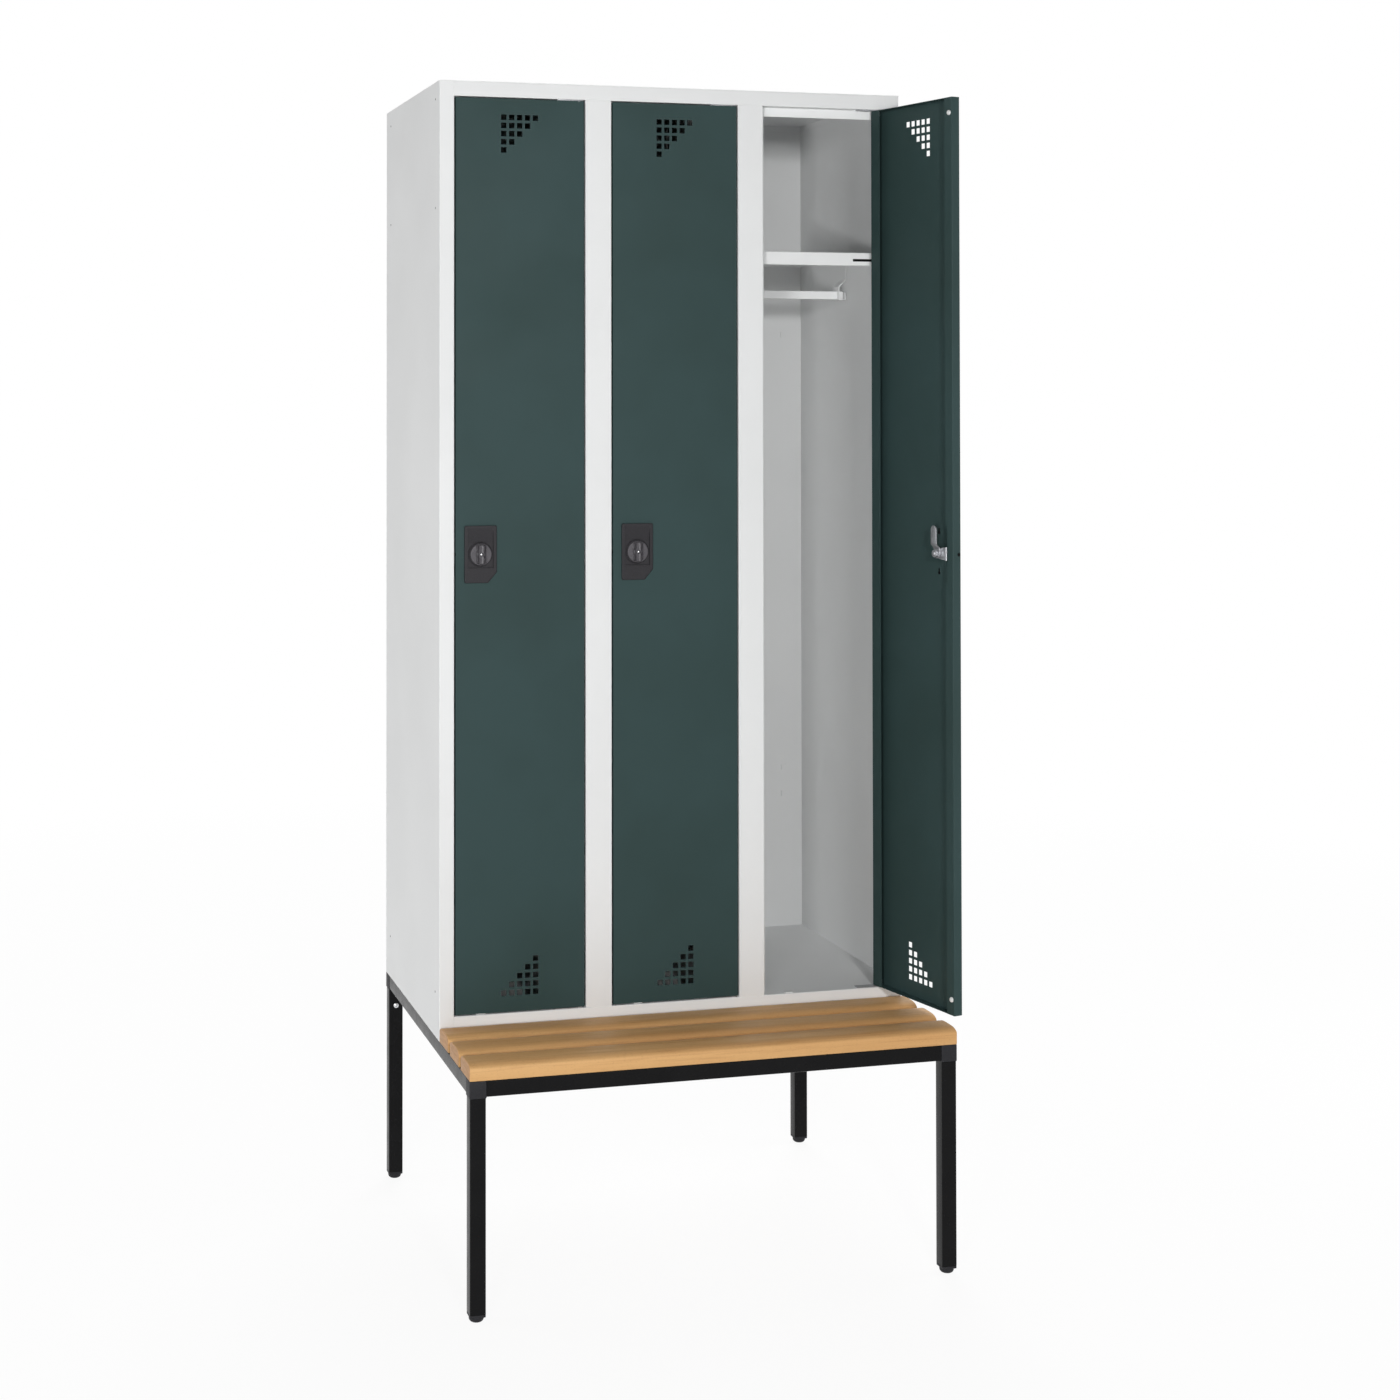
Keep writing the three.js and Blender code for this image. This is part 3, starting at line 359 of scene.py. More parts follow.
connectorPlastic = mouldedPlastic("connectorPlastic", {
    "light": color(40, 40, 43), "dark": color(32, 32, 35), "speckleScale": 420.0,
    "grainScale": 1600.0, "grainDepth": 0.00005, "rough": 0.55, "specular": 0.2,
})
lockPlastic = mouldedPlastic("lockPlastic", {
    "light": color(46, 45, 48), "dark": color(37, 36, 39), "speckleScale": 500.0,
    "grainScale": 1800.0, "grainDepth": 0.00005, "rough": 0.5, "specular": 0.2,
})
knobPlastic = mouldedPlastic("knobPlastic", {
    "light": color(84, 82, 86), "dark": color(72, 70, 74), "speckleScale": 500.0,
    "grainScale": 1800.0, "grainDepth": 0.00003, "rough": 0.4, "specular": 0.3,
})
# near-black stand-in for shade: painted shade in the shelves' slots, the door keyholes and the side panels'
# joining holes
blackRubber = mouldedPlastic("blackRubber", {
    "light": color(13, 13, 14), "dark": color(8, 8, 9), "speckleScale": 500.0,
    "grainScale": 1800.0, "grainDepth": 0.00003, "rough": 0.7, "specular": 0.08,
})
nylon = mouldedPlastic("nylon", {
    "light": color(226, 227, 226), "dark": color(212, 213, 212), "speckleScale": 600.0,
    "grainScale": 2000.0, "grainDepth": 0.00002, "rough": 0.45, "specular": 0.4,
})


# zinc: crystals of slightly different grey under a fine mottle, which also changes height and gloss
def zincPlate(name, look):
    finish = Finish(name)
    crystal = finish.cells(same(look["crystalScale"]))
    mottle = finish.noise(same(look["mottleScale"]), detail=5, roughness=0.65)
    tone = finish.mixed(finish.spread(mottle, *patternLook["mottleBand"], 0, 1), look["dark"], look["light"])
    shade = finish.spread(crystal, 0, 1, 0, look["crystalShare"])
    tone = finish.mixed(shade, tone, look["crystalTone"])
    finish.bumped(mottle, look["mottleDepth"])
    change = patternLook["zincGloss"]
    rough = finish.spread(mottle, *patternLook["band"], look["rough"] - change, look["rough"] + change)
    return finish.set(Base_Color=tone, Roughness=rough, Metallic=look["metallic"])


zinc = zincPlate("zinc", {
    "light": color(184, 185, 188), "dark": color(150, 151, 155), "crystalTone": color(128, 130, 134),
    "crystalScale": 260.0, "crystalShare": 0.25, "mottleScale": 520.0, "mottleDepth": 0.00003,
    "rough": 0.36, "metallic": 0.8,
})
brightSteel = zincPlate("brightSteel", {
    "light": color(235, 236, 238), "dark": color(206, 207, 210), "crystalTone": color(190, 191, 194),
    "crystalScale": 500.0, "crystalShare": 0.2, "mottleScale": 900.0, "mottleDepth": 0.00001,
    "rough": 0.26, "metallic": 0.9,
})

beechLook = {
    "light": color(219, 174, 118), "mid": color(205, 156, 101), "dark": color(180, 128, 78),
    "fleck": color(150, 102, 60), "endGrain": color(190, 146, 102), "endRing": color(164, 120, 78),
    "rough": 0.46, "specular": 0.22, "fleckShare": 0.32, "lineShare": 0.5, "ringShare": 0.7,
    "bandStretch": (1.1, 16, 16), "lineStretch": (7, 240, 240), "fleckStretch": (190, 1500, 1500),
    "ringStretch": (9, 30, 210), "bandRange": (0.36, 0.64), "lineRange": (0.5, 0.75),
    "fleckRange": (0.6, 0.72), "ringRange": (0.4, 0.62), "grainDepth": 0.00005,
    "endFrom": 0.6, "endTo": 0.85,
    "smoother": 0.05, "rougher": 0.08,
}


# beech: wide bands and fine lines drawn out along x, short dark flecks, and rings on the ends, which are
# the faces whose normal lies along x
def beechFinish(name, look):
    finish = Finish(name)
    bands = finish.noise(look["bandStretch"], detail=3, roughness=0.55, distortion=0.4)
    lines = finish.noise(look["lineStretch"], detail=4, roughness=0.6)
    flecks = finish.noise(look["fleckStretch"], detail=1, roughness=0.4)
    bandShare = finish.spread(bands, *look["bandRange"], 0, 1)
    lineShare = finish.spread(lines, *look["lineRange"], 0, look["lineShare"])
    fleckShare = finish.spread(flecks, *look["fleckRange"], 0, look["fleckShare"])
    tone = finish.mixed(bandShare, look["mid"], look["light"])
    tone = finish.mixed(lineShare, tone, look["dark"])
    tone = finish.mixed(fleckShare, tone, look["fleck"])
    rings = finish.noise(look["ringStretch"], detail=3, roughness=0.55, distortion=0.6)
    ringShare = finish.spread(rings, *look["ringRange"], 0, look["ringShare"])
    endTone = finish.mixed(ringShare, look["endGrain"], look["endRing"])
    normal = finish.add("ShaderNodeSeparateXYZ")
    finish.give(normal.inputs[0], finish.coordinates.outputs["Normal"])
    lengthwise = finish.add("ShaderNodeMath", operation="ABSOLUTE")
    finish.give(lengthwise.inputs[0], normal.outputs["X"])
    onEnd = finish.spread(lengthwise.outputs[0], look["endFrom"], look["endTo"], 0, 1)
    finish.bumped(finish.mixed(0.5, lines, flecks), look["grainDepth"])
    smooth, coarse = look["rough"] - look["smoother"], look["rough"] + look["rougher"]
    rough = finish.spread(lines, *patternLook["band"], smooth, coarse)
    return finish.set(
        Base_Color=finish.mixed(onEnd, tone, endTone),
        Roughness=rough,
        Specular_IOR_Level=look["specular"],
    )


beech = beechFinish("beech", beechLook)
slotFinish = {
    "light_grey": bodyPaint, "dark_green": doorPaint, "frame_black": framePaint,
    "dark_plastic": connectorPlastic, "lock_black": lockPlastic, "knob_grey": knobPlastic,
    "zinc": zinc, "beech": beech,
}
slotOf = {part["node"]: part["material_slot"] for part in frame["record"]["subparts"]}
for node, cadObject in frame["nodes"].items():
    cadObject.data.materials.clear()
    cadObject.data.materials.append(slotFinish[slotOf[node]])
print("materials made:", len(bpy.data.materials))

# Sheet steel; the measures of sheetLook are in metres
sheetLook = {
    "edge": 0.00022, "edgeLimit": math.radians(50), "edgeSteps": 2, "flatLimit": math.radians(0.5),
    "doorBend": 0.0009, "doorBendSteps": 3, "bendLength": 0.1, "bendFace": 0.005,
}
sheetNodes = [
    "side_panel_left", "side_panel_right", "middle_post_left", "middle_post_right", "back_panel",
    "top_panel", "top_rail", "floor_tray",
]
sheetNodes += [f"{kind}_{i}" for i in doorPlan["doors"] for kind in ("hat_shelf", "clothes_rail")]
sheetNodes += [f"door_{i}_{kind}" for i in doorPlan["doors"] for kind in ("panel", "lock_bracket")]
sheetNodes += [f"hinge_lower_{i}" for i in doorPlan["doors"]]


# some_node_name becomes someNodeName
def camel(node):
    first, *rest = node.split("_")
    return first + "".join(word.capitalize() for word in rest)


# share of the door's bend radius that an edge takes: 1 on the long outward bends between two wide faces,
# the plain edge radius on every other sharp edge, 0 on the flat ones
def bendShare(edge):
    if len(edge.link_faces) != 2 or edge.calc_face_angle() < sheetLook["edgeLimit"]:
        return 0.0
    length = edge.calc_length()
    wide = all(face.calc_area() > sheetLook["bendFace"] * length for face in edge.link_faces)
    if wide and length > sheetLook["bendLength"] and edge.is_convex:
        return 1.0
    return sheetLook["edge"] / sheetLook["doorBend"]


# the node's own surface with doubles merged and flat neighbours joined into one face,
# then every edge sharper than the limit rounded by the edge radius, and a door's outer bends by their own
def foldedSheet(node):
    isDoor = node.endswith("_panel") and node.startswith("door")
    source = frame["nodes"][node]
    mesh = source.data.copy()
    work = bmesh.new()
    work.from_mesh(mesh)
    bmesh.ops.remove_doubles(work, verts=work.verts, dist=shading["mergeDistance"])
    bmesh.ops.dissolve_limit(
        work, angle_limit=sheetLook["flatLimit"], verts=work.verts, edges=work.edges,
    )
    if isDoor:
        weights = work.edges.layers.float.new("bevel_weight_edge")
        for edge in work.edges:
            edge[weights] = bendShare(edge)
    work.to_mesh(mesh)
    work.free()
    mesh.shade_smooth()
    mesh.set_sharp_from_angle(angle=shading["smoothBelow"])
    piece = bpy.data.objects.new(camel(node), mesh)
    bpy.context.scene.collection.objects.link(piece)
    rounding = piece.modifiers.new("roundedEdges", "BEVEL")
    rounding.width = sheetLook["doorBend" if isDoor else "edge"]
    rounding.segments = sheetLook["doorBendSteps" if isDoor else "edgeSteps"]
    rounding.limit_method = "WEIGHT" if isDoor else "ANGLE"
    rounding.angle_limit = sheetLook["edgeLimit"]
    rounding.use_clamp_overlap = True
    weighted = piece.modifiers.new("flatFaces", "WEIGHTED_NORMAL")
    weighted.keep_sharp = True
    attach(piece, source["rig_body"])
    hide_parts(node)
    return piece


for node in sheetNodes:
    foldedSheet(node)
print("sheet steel dressed:", len(sheetNodes), "pieces")


# lowest and highest corner of a node, in millimetres from the cabinet's corner
def nodeBox(node):
    return [(np.array(corner) - np.array(cabinetCorner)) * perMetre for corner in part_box(node)]


# a slim box between two corners as a bar along the axis, its edges rounded by the edge radius
def strip(low, high, axis, edge, steps=3):
    a, b = [i for i in range(3) if i != axis]
    section, normals = roundedSection(low[a], low[b], high[a], high[b], edge, steps)
    return bar(section, normals, axis, low[axis], high[axis], edge, steps)


# paint that fills the joints of the front frame, a hair behind its face and its ends:
# low x and z, high x and z, and the axis along which each strip runs
seamLook = {
    "behind": 0.015, "deep": 1.0, "half": 0.5, "edge": 0.02,
    "endGap": 0.4, "postInset": 10, "roofInset": 0.5,
}
frontSeams = []
half = seamLook["half"]
for post in ("side_panel_left", "side_panel_right"):
    x = nodeBox("top_rail")[0 if post.endswith("left") else 1][0]
    for node in ("top_rail", "floor_tray"):
        low, high = nodeBox(node)
        bottom = low[2] if node == "floor_tray" else nodeBox("middle_post_left")[1][2]
        bottom, top = bottom + seamLook["endGap"], high[2] - seamLook["endGap"]
        frontSeams.append(((x - half, bottom), (x + half, top), 2))
for post in ("middle_post_left", "middle_post_right"):
    low, high = nodeBox(post)
    left, right = low[0] + seamLook["postInset"], high[0] - seamLook["postInset"]
    for z in (low[2], high[2]):
        frontSeams.append(((left, z - half), (right, z + half), 0))
topSeam = nodeBox("top_rail")[1][2]
left, right = seamLook["roofInset"], cabinetPlan["width"] - seamLook["roofInset"]
frontSeams.append(((left, topSeam - half), (right, topSeam + half), 0))
behind, deep, edge = seamLook["behind"], seamLook["deep"], seamLook["edge"]
seamShells = [
    strip((low[0], behind, low[1]), (high[0], deep, high[1]), axis, edge)
    for low, high, axis in frontSeams
]
near, far = seamLook["roofInset"], cabinetPlan["depth"] - seamLook["roofInset"]
for x in (behind, cabinetPlan["width"] - deep):
    seamShells.append(strip((x, near, topSeam - half), (x + deep - behind, far, topSeam + half), 1, edge))
points, faces = gathered(*seamShells)
makePiece("frameSeams", (placed(points), faces), bodyPaint, "cabinet")

hingeLook = {
    "length": 49, "front": 2, "depth": 17, "thickness": 1.6, "edge": 0.35, "hookDrop": 2.3, "hookDepth": 7,
    "pinRadius": 3, "pinReach": 10, "pinDome": 0.8, "pinSink": 0.2, "steps": 32, "arcSteps": 6,
    "ribWidth": 22, "ribDrop": 0.6, "ribSink": 0.3,
}


# quarter ellipse from the axis at end out to the radius, height further on
def domeProfile(radius, end, height, steps):
    turn = np.linspace(0, np.pi / 2, steps)
    return np.stack([radius * np.sin(turn), end + height * (1 - np.cos(turn))], axis=1)


# a flat plate under the lintel with a short hook turned down at its free end, a low stiffening rib,
# and the domed pin that the door hangs on
def upperHingeShell(number):
    look = hingeLook
    low, high = nodeBox(f"hinge_upper_{number}")
    pivot = (np.array(hingeOf[f"door_{number}"]["pos_m"]) - np.array(cabinetCorner)) * perMetre
    right, top, near = high[0], high[2], look["front"]
    left = right - look["length"]
    under = top - look["thickness"]
    plate = strip((left, near, under), (right, near + look["depth"], top), 0, look["edge"])
    hook = strip(
        (left, near, top - look["hookDrop"]),
        (left + look["thickness"], near + look["hookDepth"], top), 2, look["edge"],
    )
    middle = (left + pivot[0] - look["pinRadius"]) / 2
    rib = strip(
        (middle - look["ribWidth"] / 2, near, under - look["ribDrop"]),
        (middle + look["ribWidth"] / 2, near + look["depth"] / 2, under + look["ribSink"]), 0, look["edge"],
    )
    r, end, pinTop = look["pinRadius"], doorPlan["top"] - look["pinReach"], top - look["pinSink"]
    dome = domeProfile(r, end, look["pinDome"], look["arcSteps"])
    pin = turned([*dome, (r, pinTop), (0, pinTop)], 2, (pivot[0], pivot[1], 0), look["steps"])
    points, faces = gathered(plate, hook, rib, pin)
    return placed(points), faces


for number in doorPlan["doors"]:
    node = f"hinge_upper_{number}"
    makePiece(camel(node), upperHingeShell(number), zinc, "cabinet", [node])

# near-black strips behind the slots in the shelves' front edges: painted shade of the cavity behind each slot
slotShadeLook = {
    "fromWall": 31, "length": 50, "spare": 6, "back": 36.4, "thick": 1.2,
    "belowTop": 1.5, "height": 22, "edge": 0.2,
}
for number in doorPlan["doors"]:
    low, high = nodeBox(f"hat_shelf_{number}")
    right = high[0] - slotShadeLook["fromWall"] + slotShadeLook["spare"]
    left = right - slotShadeLook["length"] - 2 * slotShadeLook["spare"]
    top = high[2] - slotShadeLook["belowTop"]
    points, faces = strip(
        (left, slotShadeLook["back"], top - slotShadeLook["height"]),
        (right, slotShadeLook["back"] + slotShadeLook["thick"], top), 0, slotShadeLook["edge"],
    )
    makePiece(f"slotShadeStrip{number}", (placed(points), faces), blackRubber, "cabinet")

# near-black plugs in the side panels' joining holes, painted shade of the open holes, each backed by a cap
# in the body's paint that ends a hair short of the sheet's inner face
plugLook = {
    "radius": 2.45, "length": 0.7, "capEnd": 0.97, "inset": 0.08, "edge": 0.3, "steps": 24,
    "setbacks": (36, 456), "heights": (491, 1919.5, 2119),
}
for side, inward in (("Left", 1), ("Right", -1)):
    start = 0 if side == "Left" else cabinetPlan["width"]
    r, inset, edge = plugLook["radius"], plugLook["inset"], plugLook["edge"]
    length, capEnd = plugLook["length"], plugLook["capEnd"]
    plug = [(0, inset), (r - edge, inset), (r, inset + edge), (r, length), (0, length)]
    cap = [(0, length), (r, length), (r, capEnd), (0, capEnd)]
    centres = [(0, y, z) for y in plugLook["setbacks"] for z in plugLook["heights"]]
    for name, profile, finish, slotName in (
        ("joiningPlugs", plug, blackRubber, "lock_black"), ("plugCaps", cap, bodyPaint, "light_grey"),
    ):
        outline = [(reach, start + inward * along) for reach, along in profile]
        points, faces = gathered(*(turned(outline, 0, centre, plugLook["steps"]) for centre in centres))
        makePiece(f"{name}{side}", (placed(points), faces), finish, "cabinet")
print("hinges, seams, linings and plugs made")

# Seat slats
slatLook = {
    "names": ("front", "middle", "rear"),
    "crown": 7.5, "crownPower": 4, "shoulder": 1.4, "crowding": 0.75,
    "underEdge": 1.6, "endEdge": 1.4, "topSteps": 56, "edgeSteps": 5,
}


# upright edges and a crowned top: height above the edges is crown * (1 - |a|^crownPower)^(1/shoulder),
# where a runs from 1 at the rear edge to -1 at the front edge; crowding below 1 sets the points closer
# towards the edges
def slatSection(rear, front, bottom, top):
    look = slatLook
    half, middle = (rear - front) / 2, (rear + front) / 2
    a = np.cos(np.linspace(0, np.pi, look["topSteps"]))
    a = np.sign(a) * np.abs(a) ** look["crowding"]
    height = look["crown"] * (1 - np.abs(a) ** look["crownPower"]).clip(0) ** (1 / look["shoulder"])
    crown = np.stack([middle + a * half, top - look["crown"] + height], axis=1)
    r, turn = look["underEdge"], np.linspace(0, np.pi / 2, look["edgeSteps"])
    under = [np.stack([front + r - r * np.cos(turn), bottom + r - r * np.sin(turn)], axis=1)]
    under += [np.stack([rear - r + r * np.sin(turn), bottom + r - r * np.cos(turn)], axis=1)]
    section = np.concatenate([crown, *under])
    ahead = np.roll(section, -1, axis=0) - np.roll(section, 1, axis=0)
    ahead /= np.linalg.norm(ahead, axis=1, keepdims=True)
    return section, np.stack([ahead[:, 1], -ahead[:, 0]], axis=1)


for name in slatLook["names"]:
    node = f"seat_slat_{name}"
    low, high = nodeBox(node)
    section, normals = slatSection(high[1], low[1], low[2], high[2])
    points, faces = bar(section, normals, 0, low[0], high[0], slatLook["endEdge"])
    makePiece(camel(node), (placed(points), faces), beech, "cabinet", [node])
print("slats made")

# Bench frame
benchLook = {
    "tubeSize": 28, "tubeCorner": 2.6, "tubeWall": 2, "rim": 0.4, "cornerSteps": 6,
    "connector": 30, "connectorCorner": 2.2, "connectorEdge": 1.4,
    "spigotInset": 2.3, "spigotCorner": 1.5, "spigotEdge": 1.0, "spigotEdgeSteps": 2,
    "lift": 1,     # the level tubes hang this much under the connector's top
}
tubeAxis = {"front": 0, "back": 0, "left": 1, "right": 1}
tubeNodes = [(f"bench_tube_{side}", axis) for side, axis in tubeAxis.items()]
cornerNames = [f"{depth}_{side}" for depth in ("front", "back") for side in ("left", "right")]
tubeNodes += [(f"leg_{corner}", 2) for corner in cornerNames]
for node, axis in tubeNodes:
    low, high = nodeBox(node)
    a, b = [i for i in range(3) if i != axis]
    section, normals = roundedSection(
        low[a], low[b], high[a], high[b], benchLook["tubeCorner"], benchLook["cornerSteps"]
    )
    wall, rim = benchLook["tubeWall"], benchLook["rim"]
    points, faces = tube(section, normals, axis, low[axis], high[axis], wall, rim)
    makePiece(camel(node), (placed(points), faces), framePaint, "cabinet", [node])


# a cube with rounded edges in the node's outer top corner, and a spigot along each axis to the box's far side
def cornerConnector(corner):
    look = benchLook
    low, high = nodeBox(f"connector_{corner}")
    size, steps = look["connector"], look["cornerSteps"]
    atLeft, atFront = "left" in corner, "front" in corner
    left = low[0] if atLeft else high[0] - size
    start = np.array([left, low[1] if atFront else high[1] - size, high[2] - size])
    section, normals = roundedSection(
        start[0], start[1], start[0] + size, start[1] + size, look["connectorCorner"], steps
    )
    shells = [bar(section, normals, 2, start[2], start[2] + size, look["connectorEdge"])]
    middle = start + size / 2
    inset = (size - look["tubeSize"]) / 2 + look["spigotInset"]
    near = start + inset
    far = start + size - inset
    reach = [(middle[0], high[0]) if atLeft else (low[0], middle[0])]
    reach += [(middle[1], high[1]) if atFront else (low[1], middle[1]), (low[2], middle[2])]
    for axis, (begin, end) in enumerate(reach):
        a, b = [i for i in range(3) if i != axis]
        lift = 0 if axis == 2 else look["lift"]
        section, normals = roundedSection(
            near[a], near[b] + lift, far[a], far[b] + lift, look["spigotCorner"], steps
        )
        shells.append(bar(section, normals, axis, begin, end, look["spigotEdge"], look["spigotEdgeSteps"]))
    points, faces = gathered(*shells)
    return placed(points), faces


for corner in cornerNames:
    node = f"connector_{corner}"
    makePiece(camel(node), cornerConnector(corner), connectorPlastic, "cabinet", [node])

footLook = {
    "radius": 13, "dome": 6.5, "height": 10, "steps": 48, "arcSteps": 8,
    "collarTop": 14, "collarCorner": 3.0, "collarEdge": 0.6, "collarSink": 0.3, "collarSteps": 6,
    "spigotInset": 2.3, "spigotCorner": 1.5, "spigotEdge": 1.0, "spigotSteps": 4,
}


# a round pad whose lower rim is a quarter circle, a square collar under the tube and a spigot inside it
def footGlide(corner):
    look = footLook
    low, high = nodeBox(f"leg_{corner}")
    x, y = (low[0] + high[0]) / 2, (low[1] + high[1]) / 2
    turn = np.linspace(0, np.pi / 2, look["arcSteps"])
    rim = np.stack([
        look["radius"] - look["dome"] + look["dome"] * np.sin(turn),
        look["dome"] - look["dome"] * np.cos(turn),
    ], axis=1)
    profile = np.concatenate([[[0, 0]], rim, [[look["radius"], look["height"]], [0, look["height"]]]])
    half = benchLook["tubeSize"] / 2
    collar = roundedSection(
        x - half, y - half, x + half, y + half, look["collarCorner"], look["collarSteps"]
    )
    inner = half - look["spigotInset"]
    spigot = roundedSection(
        x - inner, y - inner, x + inner, y + inner, look["spigotCorner"], look["spigotSteps"]
    )
    top = nodeBox(f"foot_glide_{corner}")[1][2]
    points, faces = gathered(
        turned(profile, 2, (x, y, 0), look["steps"]),
        bar(*collar, 2, look["height"] - look["collarSink"], look["collarTop"], look["collarEdge"]),
        bar(*spigot, 2, look["height"], top, look["spigotEdge"]),
    )
    return placed(points), faces


for corner in cornerNames:
    node = f"foot_glide_{corner}"
    makePiece(camel(node), footGlide(corner), connectorPlastic, "cabinet", [node])
print("bench frame made")

# Lock plates
plateLook = {
    "width": 60, "height": 104, "thickness": 4.2, "back": -0.3, "edge": 1.1,
    "chamferWidth": 16, "chamferHeight": 19, "cornerRound": 3.0,
    "recessSide": 6.5, "recessBottom": 27.4, "recessTop": 99, "slope": 26, "recessDepth": 2.6, "wall": 0.35,
    "collarRadius": 9.7, "collarEnd": 14.2, "collarEdge": 0.6, "collarSteps": 48,
    "gridStep": 2.6, "fineStep": 0.8, "fineMargin": 0.8,
    "grooveRadius": 21.2, "grooveHalf": 1.5, "grooveFloorShare": 0.5, "grooveDepth": 1.0,
    "pocketX": 45, "pocketFromEnd": 15, "pocketRadius": 3.9, "pocketWall": 0.5, "pocketDepth": 2.0,
    "edgeLineShares": (0, 0.04, 0.12, 0.26, 0.46, 0.7, 1.0), "leastGap": 0.02,
}


# grid lines from 0 to length: even steps, three lines at every listed place, fine steps in the fine zones
# and lines crowding towards both ends
def gridLines(length, places, fineZones):
    look = plateLook
    half = look["wall"] / 2
    lines = [np.linspace(0, length, int(length / look["gridStep"]) + 1)]
    lines += [np.arange(middle - reach, middle + reach, look["fineStep"]) for middle, reach in fineZones]
    lines += [np.array([place - half, place, place + half]) for place in places]
    fromEnd = np.array(look["edgeLineShares"]) * look["edge"]
    lines += [fromEnd, length - fromEnd]
    lines = np.unique(np.round(np.concatenate(lines).clip(0, length), 4))
    return lines[np.concatenate([[True], np.diff(lines) > look["leastGap"]])]


# each point's distance to the plate's outline: the four sides, the cut corner and the rounded corners
def distanceInside(x, z):
    look = plateLook
    sides = [x, look["width"] - x, z, look["height"] - z]
    slope = math.hypot(look["chamferWidth"], look["chamferHeight"])
    cut = (look["chamferHeight"] * (look["width"] - x) + look["chamferWidth"] * z
           - look["chamferWidth"] * look["chamferHeight"]) / slope
    inside = np.minimum.reduce(sides + [cut])
    r = look["cornerRound"]
    for cornerX, cornerZ in ((0, 0), (0, look["height"]), (look["width"], look["height"])):
        centreX, centreZ = abs(cornerX - r), abs(cornerZ - r)
        near = (np.abs(x - cornerX) < r) & (np.abs(z - cornerZ) < r)
        inside = np.where(near, np.minimum(inside, r - np.hypot(x - centreX, z - centreZ)), inside)
    return inside


# the plate's front is a height over its back: full thickness, rounded down within edge of the outline,
# less the recess, whose upper part slopes down from the front face to its floor, and less a round groove
# about the knob; the back has round pockets behind the two fixing holes
def lockPlateShell():
    look = plateLook
    middleX, middleZ = look["width"] / 2, look["height"] / 2
    ring = look["grooveRadius"] + look["grooveHalf"] + look["fineMargin"]
    pockets = (look["pocketFromEnd"], look["height"] - look["pocketFromEnd"])
    edges = [look["recessSide"], look["width"] - look["recessSide"]]
    x = gridLines(look["width"], edges, [(middleX, ring)])
    recessTop = look["recessTop"]
    edges = [look["recessBottom"], recessTop, recessTop - look["slope"], look["chamferHeight"]]
    zones = [(middleZ, ring), *((z, look["pocketRadius"] + look["fineMargin"]) for z in pockets)]
    z = gridLines(look["height"], edges, zones)
    z, x = (a for a in np.meshgrid(z, x, indexing="ij"))
    r = look["cornerRound"]
    intoCorner = (r - np.minimum(z, look["height"] - z)).clip(0)
    rounded = r - np.sqrt((r * r - intoCorner ** 2).clip(0))
    chamfer = look["chamferWidth"] * (1 - z / look["chamferHeight"]).clip(0)
    right = look["width"] - np.where(z < look["chamferHeight"], chamfer, rounded)
    x = np.minimum(np.maximum(x, rounded), right)
    near = (distanceInside(x, z) / look["edge"]).clip(0, 1)
    height = look["thickness"] - look["edge"] * (1 - np.sqrt(1 - (1 - near) ** 2))
    half = look["wall"] / 2
    left, right = look["recessSide"], look["width"] - look["recessSide"]
    within = eased(x, left - half, left + half) * (1 - eased(x, right - half, right + half))
    within *= eased(z, look["recessBottom"] - half, look["recessBottom"] + half)
    depth = look["recessDepth"] * ((recessTop - z) / look["slope"]).clip(0, 1)
    reach = np.hypot(x - middleX, z - middleZ)
    fromGroove = np.abs(reach - look["grooveRadius"])
    groove = 1 - eased(fromGroove, look["grooveHalf"] * look["grooveFloorShare"], look["grooveHalf"])
    height = height - (depth + look["grooveDepth"] * groove) * within
    front = np.stack([x, look["back"] - height, z], axis=-1)
    reaches = (np.hypot(x - look["pocketX"], z - place) for place in pockets)
    wall, r = look["pocketWall"], look["pocketRadius"]
    pocket = sum(1 - eased(reach, r - wall, r) for reach in reaches)
    back = np.stack([x, look["back"] - look["pocketDepth"] * pocket, z], axis=-1)
    rows, columns = x.shape
    top = gridFaces(rows, columns)
    bottom = top + rows * columns
    rim = np.concatenate([
        np.arange(columns), np.arange(1, rows) * columns + columns - 1,
        (rows - 1) * columns + np.arange(columns - 2, -1, -1), np.arange(rows - 2, 0, -1) * columns,
    ])
    following = np.roll(rim, -1)
    sides = np.stack([rim, following, following + rows * columns, rim + rows * columns], axis=1)
    points = np.concatenate([front.reshape(-1, 3), back.reshape(-1, 3)])
    r, edge, end = look["collarRadius"], look["collarEdge"], look["collarEnd"]
    profile = [(0, look["back"]), (r, look["back"]), (r, end - edge), (r - edge, end), (0, end)]
    collar = turned(profile, 1, (middleX, 0, middleZ), look["collarSteps"])
    return gathered((points, np.concatenate([top, bottom, sides])), collar)


plateShell = lockPlateShell()
plateCorner = np.array([
    shaftPlace["fromFreeEdge"] - plateLook["width"] / 2, 0, shaftPlace["height"] - plateLook["height"] / 2,
])
for number in doorPlan["doors"]:
    node = f"door_{number}_lock_plate"
    points = placedOnDoor(number, plateShell[0] + plateCorner)
    makePiece(camel(node), (points, plateShell[1]), lockPlastic, f"door_{number}", [node])

studLook = {
    "radius": 3.1, "slotHalf": 1.5, "slotReach": 7.8, "front": -1.5, "back": 1.5, "edge": 0.25, "steps": 32,
    "edgeRadius": 3.2, "edgeProud": 0.7, "edgeSetback": 4.6, "edgeSink": 0.9,
}
